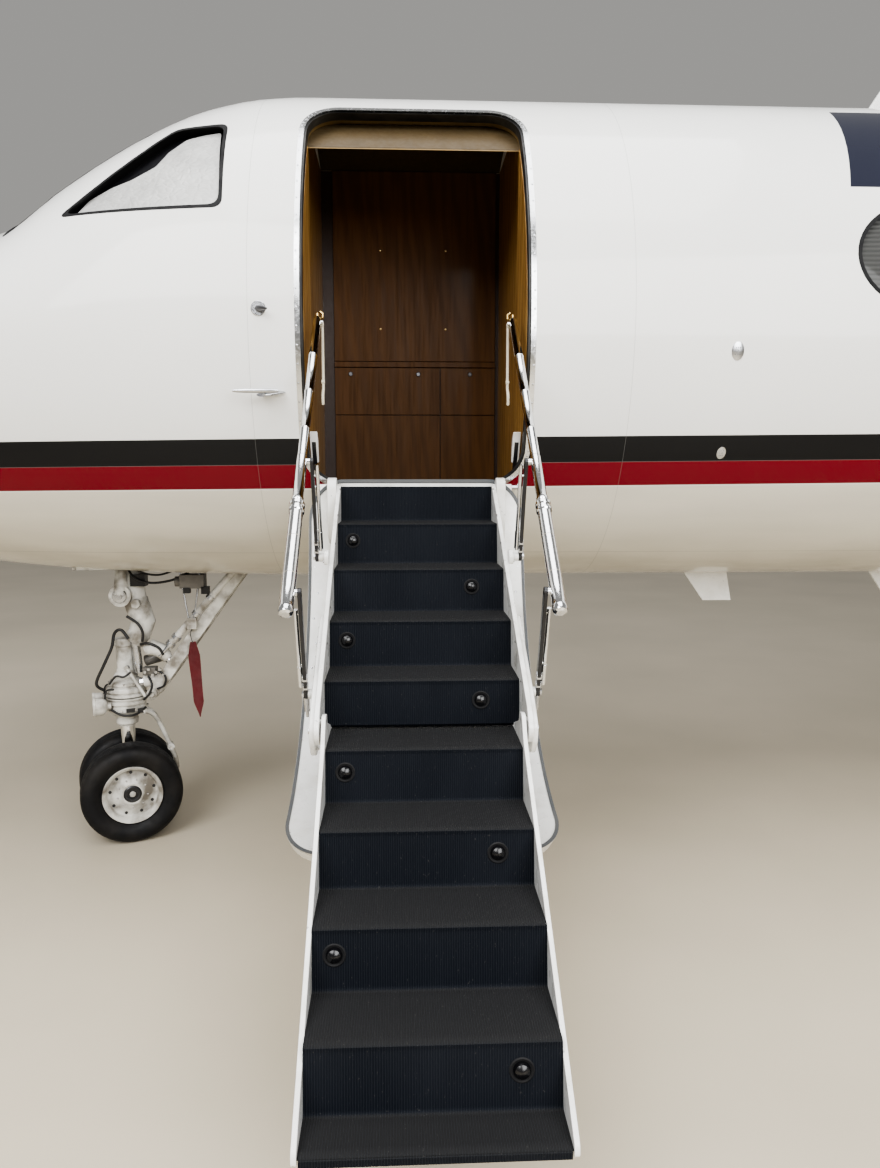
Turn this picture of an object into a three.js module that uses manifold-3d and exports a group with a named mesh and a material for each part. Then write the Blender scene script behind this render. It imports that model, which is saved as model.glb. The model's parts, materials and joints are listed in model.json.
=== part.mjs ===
// A large-cabin twin-engine business jet on its gear with its airstair open.
// Millimetres. +X aft, +Y starboard, +Z up. Origin on the ground under the middle of the box.
import * as THREE from "three";
import { mergeVertices } from "three/addons/utils/BufferGeometryUtils.js";
import Module from "manifold-3d";

const wasm = await Module();
wasm.setup();

// Driving dimensions
const HALF_LENGTH = 13460;
const AXIS_Z = 2650;
const WALL = 85;
const GAP = 0.3;
const SIDES = 36;

const DOOR = { x: -9200, half: 475, low: -695, high: 950, corner: 150 };
const WINDOW = { first: -7040, pitch: 1240, count: 6, z: 250, halfLength: 330, halfHeight: 240 };
const NOSE_GEAR = { x: -10800, tyre: 267, width: 184, track: 290, turned: 20 };
const MAIN_GEAR = { x: 860, y: 2085, tyre: 432, width: 235, track: 500 };
const WING = {
  rootLead: -3900, rootChord: 5940, tipChord: 1850, span: 11300, rootZ: 1620, sweep: 27.67, dihedral: 3,
};
const ENGINE = { x: 3250, y: 2150, z: 3080, fan: 560 };
const STAIR = { y: -1350, z: 1800, run: 235, rise: 157, depth: 215, last: 8, lastShort: 88 };
const STAIR_FOLD = { y: -2228, z: 1243 };
const DOOR_HINGE = { y: -1005, z: 1940 };
const FRAME = 6;

// Fuselage stations: x, half width, top, bottom and middle heights from the axis
const STATIONS = [
  [-13460, 20, -310, -350, -330],
  [-13400, 150, -205, -465, -330],
  [-13220, 300, -80, -600, -320],
  [-12900, 480, 75, -770, -290],
  [-12450, 670, 240, -915, -250],
  [-12000, 825, 365, -1020, -190],
  [-11500, 960, 470, -1100, -120],
  [-11080, 1045, 545, -1148, -70],
  [-10750, 1100, 800, -1172, -40],
  [-10420, 1140, 1010, -1186, -10],
  [-10150, 1165, 1130, -1192, 0],
  [-9880, 1188, 1185, -1195, 0],
  [-9680, 1195, 1195, -1195, 0],
  [3400, 1195, 1195, -1195, 0],
  [4600, 1180, 1192, -1120, 30],
  [6100, 1090, 1175, -900, 130],
  [7600, 900, 1120, -560, 280],
  [9000, 620, 1020, -160, 420],
  [10100, 330, 880, 190, 530],
  [10570, 130, 720, 440, 580],
];

const COLOURS = {
  white: [0xf1f0ec, 0.2, 0],
  metal: [0xc4c6c8, 0.25, 0.9],
  gear: [0xd8d6ce, 0.5, 0.2],
  black: [0x101216, 0.7, 0],
  tyre: [0x151515, 0.85, 0],
  foil: [0x9fa3a6, 0.4, 0.6],
  shade: [0x55585c, 0.7, 0],
  wood: [0x4b2410, 0.45, 0],
  engine: [0x6c6f73, 0.5, 0.6],
};

const jet = new THREE.Group();

// Solids: three.js geometry in, manifold solid out, and back
function solid(geometry) {
  const bare = new THREE.BufferGeometry();
  const source = geometry.index ? geometry.toNonIndexed() : geometry;
  bare.setAttribute("position", source.getAttribute("position").clone());
  const merged = mergeVertices(bare, 1e-3);
  const made = new wasm.Manifold(
    new wasm.Mesh({
      numProp: 3,
      vertProperties: new Float32Array(merged.attributes.position.array),
      triVerts: new Uint32Array(merged.index.array),
    }),
  );
  return made;
}

function add(name, body, colour) {
  const mesh = body.getMesh();
  const geometry = new THREE.BufferGeometry();
  geometry.setAttribute("position", new THREE.BufferAttribute(new Float32Array(mesh.vertProperties), 3));
  geometry.setIndex(new THREE.BufferAttribute(new Uint32Array(mesh.triVerts), 1));
  geometry.computeVertexNormals();
  const [color, roughness, metalness] = COLOURS[colour];
  const node = new THREE.Mesh(geometry, new THREE.MeshStandardMaterial({ color, roughness, metalness }));
  node.name = name;
  jet.add(node);
}

// A closed skin over rings of equal point count, ends closed by fans
function loft(rings) {
  const count = rings[0].length;
  const points = rings.flat().flat();
  const faces = [];
  const quad = (a, b, c, d) => faces.push(a, b, c, a, c, d);
  for (let r = 0; r + 1 < rings.length; r++)
    for (let i = 0; i < count; i++) {
      const j = (i + 1) % count;
      quad(r * count + i, r * count + j, (r + 1) * count + j, (r + 1) * count + i);
    }
  for (const [ring, start, flip] of [
    [rings[0], 0, true],
    [rings.at(-1), (rings.length - 1) * count, false],
  ]) {
    const centre = points.length / 3;
    const mean = [0, 1, 2].map((k) => ring.reduce((sum, p) => sum + p[k], 0) / count);
    points.push(...mean);
    for (let i = 0; i < count; i++) {
      const j = (i + 1) % count;
      faces.push(centre, ...(flip ? [start + j, start + i] : [start + i, start + j]));
    }
  }
  const geometry = new THREE.BufferGeometry();
  geometry.setAttribute("position", new THREE.BufferAttribute(new Float32Array(points), 3));
  geometry.setIndex(faces);
  const made = solid(geometry);
  if (made.volume() > 0) return made;
  for (let f = 0; f < faces.length; f += 3) [faces[f], faces[f + 1]] = [faces[f + 1], faces[f]];
  geometry.setIndex(faces);
  return solid(geometry);
}

// A flat outline pushed along an axis. Outline pairs are (Y,Z) for X, (Z,X) for Y and (X,Y) for Z
const TURNS = {
  x: new THREE.Matrix4().makeBasis(
    new THREE.Vector3(0, 1, 0), new THREE.Vector3(0, 0, 1), new THREE.Vector3(1, 0, 0)),
  y: new THREE.Matrix4().makeBasis(
    new THREE.Vector3(0, 0, 1), new THREE.Vector3(1, 0, 0), new THREE.Vector3(0, 1, 0)),
  z: new THREE.Matrix4(),
};

function pushed(axis, outline, from, to, curveSegments = 8) {
  const points = () => outline.map(([a, b]) => new THREE.Vector2(a, b));
  const shape = outline instanceof THREE.Shape ? outline : new THREE.Shape(points());
  const geometry = new THREE.ExtrudeGeometry(shape, { depth: to - from, bevelEnabled: false, curveSegments });
  geometry.translate(0, 0, from).applyMatrix4(TURNS[axis]);
  return solid(geometry);
}

function box(x0, x1, y0, y1, z0, z1) {
  const geometry = new THREE.BoxGeometry(Math.abs(x1 - x0), Math.abs(y1 - y0), Math.abs(z1 - z0));
  geometry.translate((x0 + x1) / 2, (y0 + y1) / 2, (z0 + z1) / 2);
  return solid(geometry);
}

// A round bar between two points, its end radii given
function bar(from, to, radius, endRadius = radius, sides = 8) {
  const start = new THREE.Vector3(...from);
  const end = new THREE.Vector3(...to);
  const along = end.clone().sub(start);
  const geometry = new THREE.CylinderGeometry(endRadius, radius, along.length(), sides);
  const up = new THREE.Vector3(0, 1, 0);
  const turn = new THREE.Quaternion().setFromUnitVectors(up, along.clone().normalize());
  geometry.applyQuaternion(turn).translate(...start.clone().add(end).multiplyScalar(0.5).toArray());
  return solid(geometry);
}

// A turned body about an axis through a centre. Profile pairs are (radius, place along the axis)
function turned(axis, centre, profile, segments = 36) {
  const geometry = new THREE.LatheGeometry(profile.map(([r, a]) => new THREE.Vector2(r, a)), segments);
  if (axis === "x") geometry.rotateZ(-Math.PI / 2);
  if (axis === "z") geometry.rotateX(Math.PI / 2);
  geometry.translate(...centre);
  const made = solid(geometry);
  if (made.volume() > 0) return made;
  return turned(axis, centre, [...profile].reverse(), segments);
}

const join = (first, ...rest) => rest.reduce((sum, next) => sum.add(next), first);
const cut = (first, ...rest) => rest.reduce((sum, next) => sum.subtract(next), first);

function moved(body, matrix) {
  const mesh = body.getMesh();
  const faces = Array.from(mesh.triVerts);
  if (matrix.determinant() < 0)
    for (let f = 0; f < faces.length; f += 3) [faces[f], faces[f + 1]] = [faces[f + 1], faces[f]];
  const geometry = new THREE.BufferGeometry();
  geometry.setAttribute("position", new THREE.BufferAttribute(new Float32Array(mesh.vertProperties), 3));
  geometry.setIndex(faces);
  return solid(geometry.applyMatrix4(matrix));
}

const mirrored = (body) => moved(body, new THREE.Matrix4().makeScale(1, -1, 1));
const rad = (degrees) => (degrees * Math.PI) / 180;
const mix = (a, b, t) => a + (b - a) * t;

// Fuselage ring at a station, moved in by an inset
function station(x) {
  const last = STATIONS.length - 1;
  let i = STATIONS.findIndex((row, k) => k < last && x <= STATIONS[k + 1][0]);
  if (i < 0) i = last - 1;
  const [low, high] = [STATIONS[i], STATIONS[i + 1]];
  const t = (x - low[0]) / (high[0] - low[0]);
  return low.map((value, k) => (k ? mix(value, high[k], t) : x));
}

function ring(x, inset = 0, sides = SIDES) {
  const [, half, top, bottom, middle] = station(x);
  return Array.from({ length: sides }, (_, k) => {
    const angle = (2 * Math.PI * (k + 0.5)) / sides;
    const up = Math.sin(angle);
    const height = up > 0 ? top - middle : middle - bottom;
    return [x, (half - inset) * Math.cos(angle), AXIS_Z + middle + (height - inset) * up];
  });
}

function hull(from, to, inset = 0, sides = SIDES) {
  const between = STATIONS.map((row) => row[0]).filter((x) => x > from + 1 && x < to - 1);
  return loft([from, ...between, to].map((x) => ring(x, inset, sides)));
}

// The space inside the walls, with fewer sides than the skin
const cavity = (from, to, inset = WALL) => hull(from, to, inset, SIDES / 2);

// The cabin floor spans the inside of each shell
const FLOOR = { thick: 60, z: 1955 };

function shell(from, to, floorFrom) {
  const inside = cavity(from - 1, to + 1);
  const slab = box(floorFrom, to, -1195, 1195, FLOOR.z - FLOOR.thick, FLOOR.z);
  const floor = slab.intersect(hull(from, to, WALL / 2));
  return join(cut(hull(from, to), inside), floor);
}

// Outlines seen from the side, as (Z, X) pairs
function rounded(x0, x1, z0, z1, corner) {
  const shape = new THREE.Shape();
  shape.moveTo(z0, x0 + corner);
  shape.lineTo(z0, x1 - corner);
  shape.absarc(z0 + corner, x1 - corner, corner, Math.PI, Math.PI / 2, true);
  shape.lineTo(z1 - corner, x1);
  shape.absarc(z1 - corner, x1 - corner, corner, Math.PI / 2, 0, true);
  shape.lineTo(z1, x0 + corner);
  shape.absarc(z1 - corner, x0 + corner, corner, 0, -Math.PI / 2, true);
  shape.lineTo(z0 + corner, x0);
  shape.absarc(z0 + corner, x0 + corner, corner, -Math.PI / 2, -Math.PI, true);
  return shape;
}

function oval(x, z, halfLength, halfHeight) {
  const shape = new THREE.Shape();
  shape.absellipse(z, x, halfHeight, halfLength, 0, 2 * Math.PI);
  return shape;
}

// Cockpit window corners, (x, height from the axis), for the opening and, moved in, for its pane
const SIDE_WINDOW = [[-10700, 412], [-9985, 422], [-10000, 855], [-10245, 853]];
const FRONT_WINDOW = {
  lowX: -11060, highX: -10400, lowZ: 585, highZ: 985, inner: 60, outerLow: 800, outerHigh: 560,
};

function shrunk(points, by) {
  const middle = [0, 1].map((k) => points.reduce((sum, p) => sum + p[k], 0) / points.length);
  return points.map((p) => p.map((v, k) => middle[k] + (v - middle[k]) * (1 - by / 300)));
}

function sideWindowCutter(by, from, to) {
  return pushed("y", shrunk(SIDE_WINDOW, by).map(([x, z]) => [AXIS_Z + z, x]), from, to);
}

function frontWindowCutter(by) {
  const f = FRONT_WINDOW;
  const outline = [
    [f.lowX + by, f.inner + by], [f.highX - by, f.inner + by],
    [f.highX - by, f.outerHigh - by], [f.lowX + by + 60, f.outerLow - by],
  ];
  return pushed("z", outline, AXIS_Z + 400, AXIS_Z + 1300);
}

function windowXs() {
  return Array.from({ length: WINDOW.count }, (_, k) => WINDOW.first + k * WINDOW.pitch);
}

function cabinWindowCutter(x, by, from, to) {
  const outline = oval(x, AXIS_Z + WINDOW.z, WINDOW.halfLength - by, WINDOW.halfHeight - by);
  return pushed("y", outline, from, to, 6);
}

// The entry vestibule's inside and its panels' thickness
const ROOM = { half: 505, farY: 360, top: 3690, panel: 25 };

// White housings inside the doorway's lower corners, and the lugs that carry the door's hinge pins
const HOUSING = { inner: 424, outer: 458, fromY: -1062, toY: -930, low: 1975, high: 2160 };
const LUG = {
  inner: 422,
  outer: 444,
  outline: [[-1023, 1935], [-1005, 1922], [-960, 1940], [-940, 2022], [-1003, 2022], [-1023, 1990]],
};
const HINGE_PIN = { from: 386, to: 430, radius: 10 };

// Splits between the shells
const TAIL_BULKHEAD = 9000;
const TAIL_WALL = 50;
const TAIL_END = STATIONS.at(-1)[0];
const SPLIT = { radome: -12450, cockpit: -9880, entry: -8300, cabin: 3400 };
const WELL = { from: -10960, to: -9980, half: 210, roof: 1900 };

function fuselage() {
  add("nose_radome", hull(-HALF_LENGTH, SPLIT.radome - GAP), "white");
  const well = box(WELL.from, WELL.to, -WELL.half, WELL.half, 1000, WELL.roof);
  let cockpit = shell(SPLIT.radome, SPLIT.cockpit - GAP, SPLIT.radome);
  cockpit = join(cockpit, hull(SPLIT.radome, SPLIT.radome + 60));
  const wellHalf = WELL.half + 30;
  const wellWalls = box(WELL.from - 30, SPLIT.cockpit - GAP, -wellHalf, wellHalf, 1000, WELL.roof + 30);
  cockpit = join(cockpit, wellWalls.intersect(hull(SPLIT.radome, SPLIT.cockpit - GAP)));
  cockpit = cut(
    cockpit, well, sideWindowCutter(0, -1500, -300), sideWindowCutter(0, 300, 1500),
    frontWindowCutter(0), mirrored(frontWindowCutter(0)),
  );
  add("cockpit_section", cockpit, "white");

  const doorway = pushed("y", rounded(DOOR.x - DOOR.half, DOOR.x + DOOR.half, AXIS_Z + DOOR.low,
    AXIS_Z + DOOR.high, DOOR.corner), -1500, -300);
  const entry = shell(SPLIT.cockpit, SPLIT.entry - GAP, DOOR.x + ROOM.half + ROOM.panel + GAP);
  add("entry_section", cut(entry, doorway), "white");

  let cabin = shell(SPLIT.entry, SPLIT.cabin - GAP, SPLIT.entry);
  for (const x of windowXs())
    for (const [from, to] of [[-1500, -300], [300, 1500]])
      cabin = cut(cabin, cabinWindowCutter(x, 0, from, to));
  add("cabin_section", cabin, "white");
  const tailCavity = cavity(SPLIT.cabin - 1, TAIL_BULKHEAD, TAIL_WALL);
  add("tail_section", cut(hull(SPLIT.cabin, TAIL_END), tailCavity), "white");
}

// Panes stand in their openings and are held by an inner band
function glazing() {
  const inner = (from, to, inset, depth) =>
    cut(cavity(from, to, inset), cavity(from - 1, to + 1, inset + depth));
  const [from, to] = [SPLIT.radome, SPLIT.cockpit - GAP];
  const window = join(sideWindowCutter(8, -1500, -300), sideWindowCutter(8, 300, 1500),
    frontWindowCutter(12), mirrored(frontWindowCutter(12)));
  const pane = cut(hull(from, to, 14), cavity(from - 1, to + 1, WALL + 2)).intersect(window);
  const zone = box(-11250, to - 20, -1500, 1500, AXIS_Z + 330, AXIS_Z + 1195);
  const band = inner(from, to, WALL + GAP, 20).intersect(zone);
  const cockpit = join(pane, band);
  add("cockpit_glazing_port", cockpit.intersect(box(from, to, -1500, -20, 0, 6000)), "foil");
  add("cockpit_glazing_starboard", cockpit.intersect(box(from, to, 20, 1500, 0, 6000)), "foil");

  const first = WINDOW.first - 500;
  const last = WINDOW.first + (WINDOW.count - 1) * WINDOW.pitch + 500;
  const belt = inner(first, last, WALL + GAP, 22).intersect(
    box(first, last, -1500, -20, AXIS_Z + WINDOW.z - 320, AXIS_Z + WINDOW.z + 320));
  const plugs = windowXs().map((x) => cabinWindowCutter(x, 8, -1500, -300));
  const shades = cut(hull(first, last, 40), cavity(first - 1, last + 1, WALL + 4)).intersect(join(...plugs));
  const cabin = join(belt, shades);
  add("cabin_windows_port", cabin, "shade");
  add("cabin_windows_starboard", mirrored(cabin), "shade");
}

// Entry vestibule inside the doorway
function vestibule() {
  const [x0, x1] = [DOOR.x - ROOM.half, DOOR.x + ROOM.half];
  const inside = cavity(SPLIT.cockpit, SPLIT.entry, WALL + GAP);
  const room = box(x0, x1, -1200, ROOM.farY, FLOOR.z + GAP, ROOM.top);
  const outer = box(x0 - ROOM.panel, x1 + ROOM.panel, -1200, ROOM.farY + ROOM.panel,
    FLOOR.z + GAP, ROOM.top + ROOM.panel);
  const doorwaySide = box(x0 - 1, x1 + 1, -1200, -700, 0, 6000);
  add("vestibule_lining", cut(outer, room, doorwaySide).intersect(inside), "wood");
  const floor = box(x0 - ROOM.panel, x1 + ROOM.panel, -840, ROOM.farY + ROOM.panel,
    FLOOR.z - FLOOR.thick, FLOOR.z);
  add("vestibule_floor", floor.intersect(inside), "black");

  const ringOf = (grow, deep) => pushed("y", rounded(DOOR.x - DOOR.half - grow, DOOR.x + DOOR.half + grow,
    AXIS_Z + DOOR.low - grow, AXIS_Z + DOOR.high + grow, DOOR.corner + grow), -1500, deep);
  const frame = cut(ringOf(-GAP, -550), ringOf(-FRAME, -549));
  const band = cut(hull(SPLIT.cockpit, SPLIT.entry, 2), hull(SPLIT.cockpit - 1, SPLIT.entry + 1, WALL - 2));
  const hinge = [DOOR_HINGE.y, DOOR_HINGE.z];
  const beside = (side, near, far) => [DOOR.x + side * near, DOOR.x + side * far].sort((p, q) => p - q);
  const lugs = [-1, 1].flatMap((side) => [
    pushed("x", LUG.outline, ...beside(side, LUG.inner, LUG.outer)),
    alongX(...beside(side, HINGE_PIN.from, HINGE_PIN.to), hinge, HINGE_PIN.radius),
  ]);
  const skinBelow = cut(hull(SPLIT.cockpit, SPLIT.entry, -GAP), ringOf(-FRAME, -549), ringOf(-GAP, -549));
  const behindDoor = hull(SPLIT.cockpit, SPLIT.entry, DOOR_PANEL + 7);
  const housings = [-1, 1].map((side) => box(...beside(side, HOUSING.inner, HOUSING.outer), HOUSING.fromY,
    HOUSING.toY, HOUSING.low, HOUSING.high).intersect(behindDoor).intersect(ringOf(-GAP, HOUSING.toY)));
  const surround = join(frame.intersect(band), ...lugs.map((l) => cut(l, skinBelow)), ...housings);
  add("door_surround", largest(surround), "metal");
}

// Blade antennas: name, then (Z, X) outline
const ANTENNAS = [
  ["antenna_crown", [[3780, -6860], [4160, -6610], [4160, -6450], [3780, -6420]]],
  ["antenna_belly_fore", [[1500, -7710], [1290, -7560], [1290, -7400], [1500, -7440]]],
  ["antenna_belly_aft", [[1500, -6640], [1270, -6480], [1270, -6330], [1500, -6340]]],
];

function antennas() {
  for (const [name, outline] of ANTENNAS)
    add(name, largest(cut(pushed("y", outline, -8, 8), hull(SPLIT.entry, SPLIT.cabin, -GAP))), "white");
}

// Wing sections
const AIRFOIL_STEPS = [0, 0.012, 0.05, 0.12, 0.25, 0.42, 0.6, 0.78, 0.9, 1];

function thicknessAt(u) {
  return 5 * (0.2969 * Math.sqrt(u) - 0.126 * u - 0.3516 * u ** 2 + 0.2843 * u ** 3 - 0.1036 * u ** 4);
}

function airfoil(chord, share) {
  const upper = AIRFOIL_STEPS.map((u) => [u * chord, thicknessAt(u) * share * chord + 2]);
  const backwards = AIRFOIL_STEPS.slice(1).reverse();
  const lower = backwards.map((u) => [u * chord, -thicknessAt(u) * share * chord * 0.8 - 2]);
  return [...upper, ...lower];
}

function wingSection(y) {
  const t = y / WING.span;
  const chord = mix(WING.rootChord, WING.tipChord, t);
  const quarter = WING.rootLead + WING.rootChord / 4 + y * Math.tan(rad(WING.sweep));
  const z = WING.rootZ + y * Math.tan(rad(WING.dihedral));
  return { lead: quarter - chord / 4, chord, z, share: mix(0.115, 0.09, t) };
}

function wingRing(y, side) {
  const { lead, chord, z, share } = wingSection(y);
  return airfoil(chord, share).map(([a, b]) => [lead + a, side * y, z + b]);
}

// Winglet rings: height above the tip, outward shift, lead shift, chord
const WINGLET = [[0, 0, 0, 1850], [160, 130, 260, 1520], [500, 270, 640, 1180], [1250, 555, 1400, 560]];

function wingletRing([up, out, back, chord], side) {
  const { lead, z } = wingSection(WING.span);
  const lean = rad(up ? 62 : 0);
  return airfoil(chord, 0.08).map(([a, b]) => [
    lead + back + a, side * (WING.span + out - b * Math.sin(lean)), z + up + b * Math.cos(lean),
  ]);
}

// A control surface: everything aft of a hinge line, with a round nose on it.
// span is the two (x, y, z) ends of the hinge line, radii its nose at each end.
function controlRegion(ends, radii, grow, endGrow, across) {
  const [a, b] = ends.map((p) => new THREE.Vector3(...p));
  const along = b.clone().sub(a).normalize();
  const start = a.clone().addScaledVector(along, -endGrow);
  const end = b.clone().addScaledVector(along, endGrow);
  const aft = new THREE.Vector3(1, 0, 0).addScaledVector(along, -along.x).normalize();
  const normal = new THREE.Vector3().crossVectors(aft, along).normalize();
  const corner = (p, forward, height) =>
    p.clone().addScaledVector(aft, forward).addScaledVector(normal, height).toArray();
  const front = grow ? [-radii[0] - grow, -radii[1] - grow] : [0, 0];
  const ringAt = (p, f) =>
    [corner(p, f, -across), corner(p, 3000, -across), corner(p, 3000, across), corner(p, f, across)];
  const wedge = loft([ringAt(start, front[0]), ringAt(end, front[1])]);
  if (grow) return wedge;
  return join(wedge, bar(start.toArray(), end.toArray(), radii[0], radii[1], 20));
}

const CLEAR = 9;
const PIN = { radius: 8, reach: 30, play: 0.9 };

// Pins that stand out of both ends of a control surface, or with play their holes in what carries it
function hingePins(ends, play = 0) {
  const [a, b] = ends.map((p) => new THREE.Vector3(...p));
  const along = b.clone().sub(a).normalize();
  return [[a, -1], [b, 1]].map(([end, way]) => bar(
    end.clone().addScaledVector(along, -way * 40).toArray(),
    end.clone().addScaledVector(along, way * (PIN.reach + play)).toArray(),
    PIN.radius + play, PIN.radius + play, 8));
}

const AILERON = { from: 7900, to: 10750, share: 0.76 };
const FLAP = { from: 1450, to: 7780, share: 0.78 };

function wingHinge(part, side) {
  const at = (y) => {
    const s = wingSection(y);
    return [s.lead + s.chord * part.share, side * y, s.z + 4];
  };
  return [at(part.from), at(part.to)];
}

function wingRadii(part) {
  return [part.from, part.to].map((y) => {
    const s = wingSection(y);
    return thicknessAt(part.share) * s.share * s.chord * 0.86;
  });
}

const largest = (body) => body.decompose().sort((a, b) => b.volume() - a.volume())[0];
const shifted = (body, x, y, z) => moved(body, new THREE.Matrix4().makeTranslation(x, y, z));

function wingPlane(side) {
  const rings = [880, 4000, 8000, WING.span].map((y) => wingRing(y, side));
  return loft([...rings, ...WINGLET.slice(1).map((row) => wingletRing(row, side))]);
}

function wings() {
  for (const [name, side] of [["port", -1], ["starboard", 1]]) {
    const plane = wingPlane(side);
    let wing = cut(plane, hull(-9000, 3400, -GAP), hull(3400, 10000, -GAP));
    for (const [part, label] of [[AILERON, "aileron"], [FLAP, "flap"]]) {
      const ends = wingHinge(part, side);
      const radii = wingRadii(part);
      wing = cut(wing, controlRegion(ends, radii, CLEAR, CLEAR, 400), ...hingePins(ends, PIN.play));
      const surface = plane.intersect(controlRegion(ends, radii, 0, 0, 400));
      add(label + "_" + name, join(surface, ...hingePins(ends)), "white");
    }
    const wellCut = box(MAIN_GEAR.x - 130, MAIN_GEAR.x + 130, side * MAIN_GEAR.y - 130,
      side * MAIN_GEAR.y + 130, 1000, 1640);
    add("wing_" + name, cut(largest(wing), wellCut), "white");
  }
}

// Fairing under the cabin that carries both wings: x, half width, bottom, top
const FAIRING = [[-5600, 150, 1440, 1500], [-4700, 800, 1290, 1900], [-3300, 1130, 1180, 2150],
  [500, 1180, 1160, 2200], [2300, 1120, 1200, 2050], [3900, 700, 1350, 1800], [4700, 150, 1500, 1640]];

function fairing() {
  const rings = FAIRING.map(([x, half, bottom, top]) => Array.from({ length: 18 }, (_, k) => {
    const angle = (2 * Math.PI * (k + 0.5)) / 18;
    const squareness = (v) => Math.sign(v) * Math.abs(v) ** 0.75;
    const height = ((top - bottom) / 2) * squareness(Math.sin(angle));
    return [x, half * squareness(Math.cos(angle)), (top + bottom) / 2 + height];
  }));
  const clear = cut(loft(rings), hull(-9000, 3400, -GAP), hull(3400, 10000, -GAP));
  const wingBlocks = [-1, 1].flatMap((side) => {
    const plane = wingPlane(side);
    return [[0, 0, GAP], [0, 0, -GAP], [GAP, 0, 0], [-GAP, 0, 0]].map((shift) => shifted(plane, ...shift));
  });
  const made = cut(clear, ...wingBlocks);
  add("wing_body_fairing", largest(made), "white");
}

// Engines: profiles are (radius, distance behind the intake lip)
const NACELLE = [[585, 150], [600, 60], [655, 0], [700, 40], [735, 250], [750, 900], [750, 2300], [720, 3300],
  [620, 4200], [500, 4800], [470, 4795], [560, 4000], [600, 3300], [600, 700], [585, 450]];
const SHAFT = { radius: 50, bore: 50.95, sides: 24 };
const FAN = { at: 520, depth: 150, blades: 14, hub: 150 };

function engines() {
  for (const [name, side] of [["port", -1], ["starboard", 1]]) {
    const centre = [ENGINE.x, side * ENGINE.y, ENGINE.z];
    const outer = NACELLE.slice(2, 10);
    const nacelle = turned("x", centre, [...NACELLE, NACELLE[0]], 24);
    add("nacelle_" + name, nacelle, "white");
    const filled = turned("x", centre, [[0, -1], ...outer.map(([r, a]) => [r + GAP, a]), [0, 4801]], 24);
    const blockOutline = [[0, 900], [599.5, 900], [599.5, 2700], [430, 3400], [300, 4500], [0, 4600]];
    const block = turned("x", centre, blockOutline, 24);
    const onShaft = (x) => [ENGINE.x + x, side * ENGINE.y, ENGINE.z];
    const bore = bar(onShaft(800), onShaft(1000), SHAFT.bore, SHAFT.bore, SHAFT.sides);
    add("engine_" + name, cut(block, bore), "engine");

    const radius = ENGINE.fan + 12;
    let fan = turned("x", centre, [[0, 330], [70, 370], [FAN.hub, 520], [FAN.hub, 720], [0, 720]], 16);
    fan = join(fan, bar(onShaft(700), onShaft(990), SHAFT.radius, SHAFT.radius, SHAFT.sides));
    for (let k = 0; k < FAN.blades; k++) {
      const blade = new THREE.BoxGeometry(8, radius - FAN.hub + 30, 120);
      blade.translate(0, (radius + FAN.hub - 30) / 2, 0).rotateY(rad(52));
      blade.rotateX((2 * Math.PI * k) / FAN.blades);
      blade.translate(ENGINE.x + 620, side * ENGINE.y, ENGINE.z);
      fan = join(fan, solid(blade));
    }
    add("fan_" + name, fan, "metal");

    const rings = [900, 1500].map((y) =>
      airfoil(3300, 0.075).map(([a, b]) => [4100 + a, side * y, ENGINE.z - 40 + b]));
    const pylon = cut(loft(rings), filled, hull(3400, 10500, -GAP));
    add("pylon_" + name, largest(pylon), "white");
  }
}

// Tail: fin and rudder upright, tailplane and elevators across its top
const FIN = {
  rootLead: 5900, rootChord: 4300, tipLead: 9050, tipChord: 2300, lowZ: 3150, highZ: 7150, share: 0.095,
};
const TAIL = { lead: 8950, chord: 2500, tipChord: 1100, half: 4875, z: 7290, bullet: 160 };
const RUDDER = { from: 3980, to: 6900, share: 0.7 };
const ELEVATOR = { from: 330, to: 4640, share: 0.68 };

function symmetric(chord, share) {
  const side = AIRFOIL_STEPS.map((u) => [u * chord, thicknessAt(u) * share * chord + 2]);
  return [...side, ...side.slice(1).reverse().map(([a, b]) => [a, -b])];
}

function finSection(z) {
  const t = (z - FIN.lowZ) / (FIN.highZ - FIN.lowZ);
  return { lead: mix(FIN.rootLead, FIN.tipLead, t), chord: mix(FIN.rootChord, FIN.tipChord, t) };
}

function tailSection(y) {
  const t = Math.abs(y) / TAIL.half;
  const tipLead = HALF_LENGTH - TAIL.tipChord;
  return { lead: mix(TAIL.lead, tipLead, t), chord: mix(TAIL.chord, TAIL.tipChord, t) };
}

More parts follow.
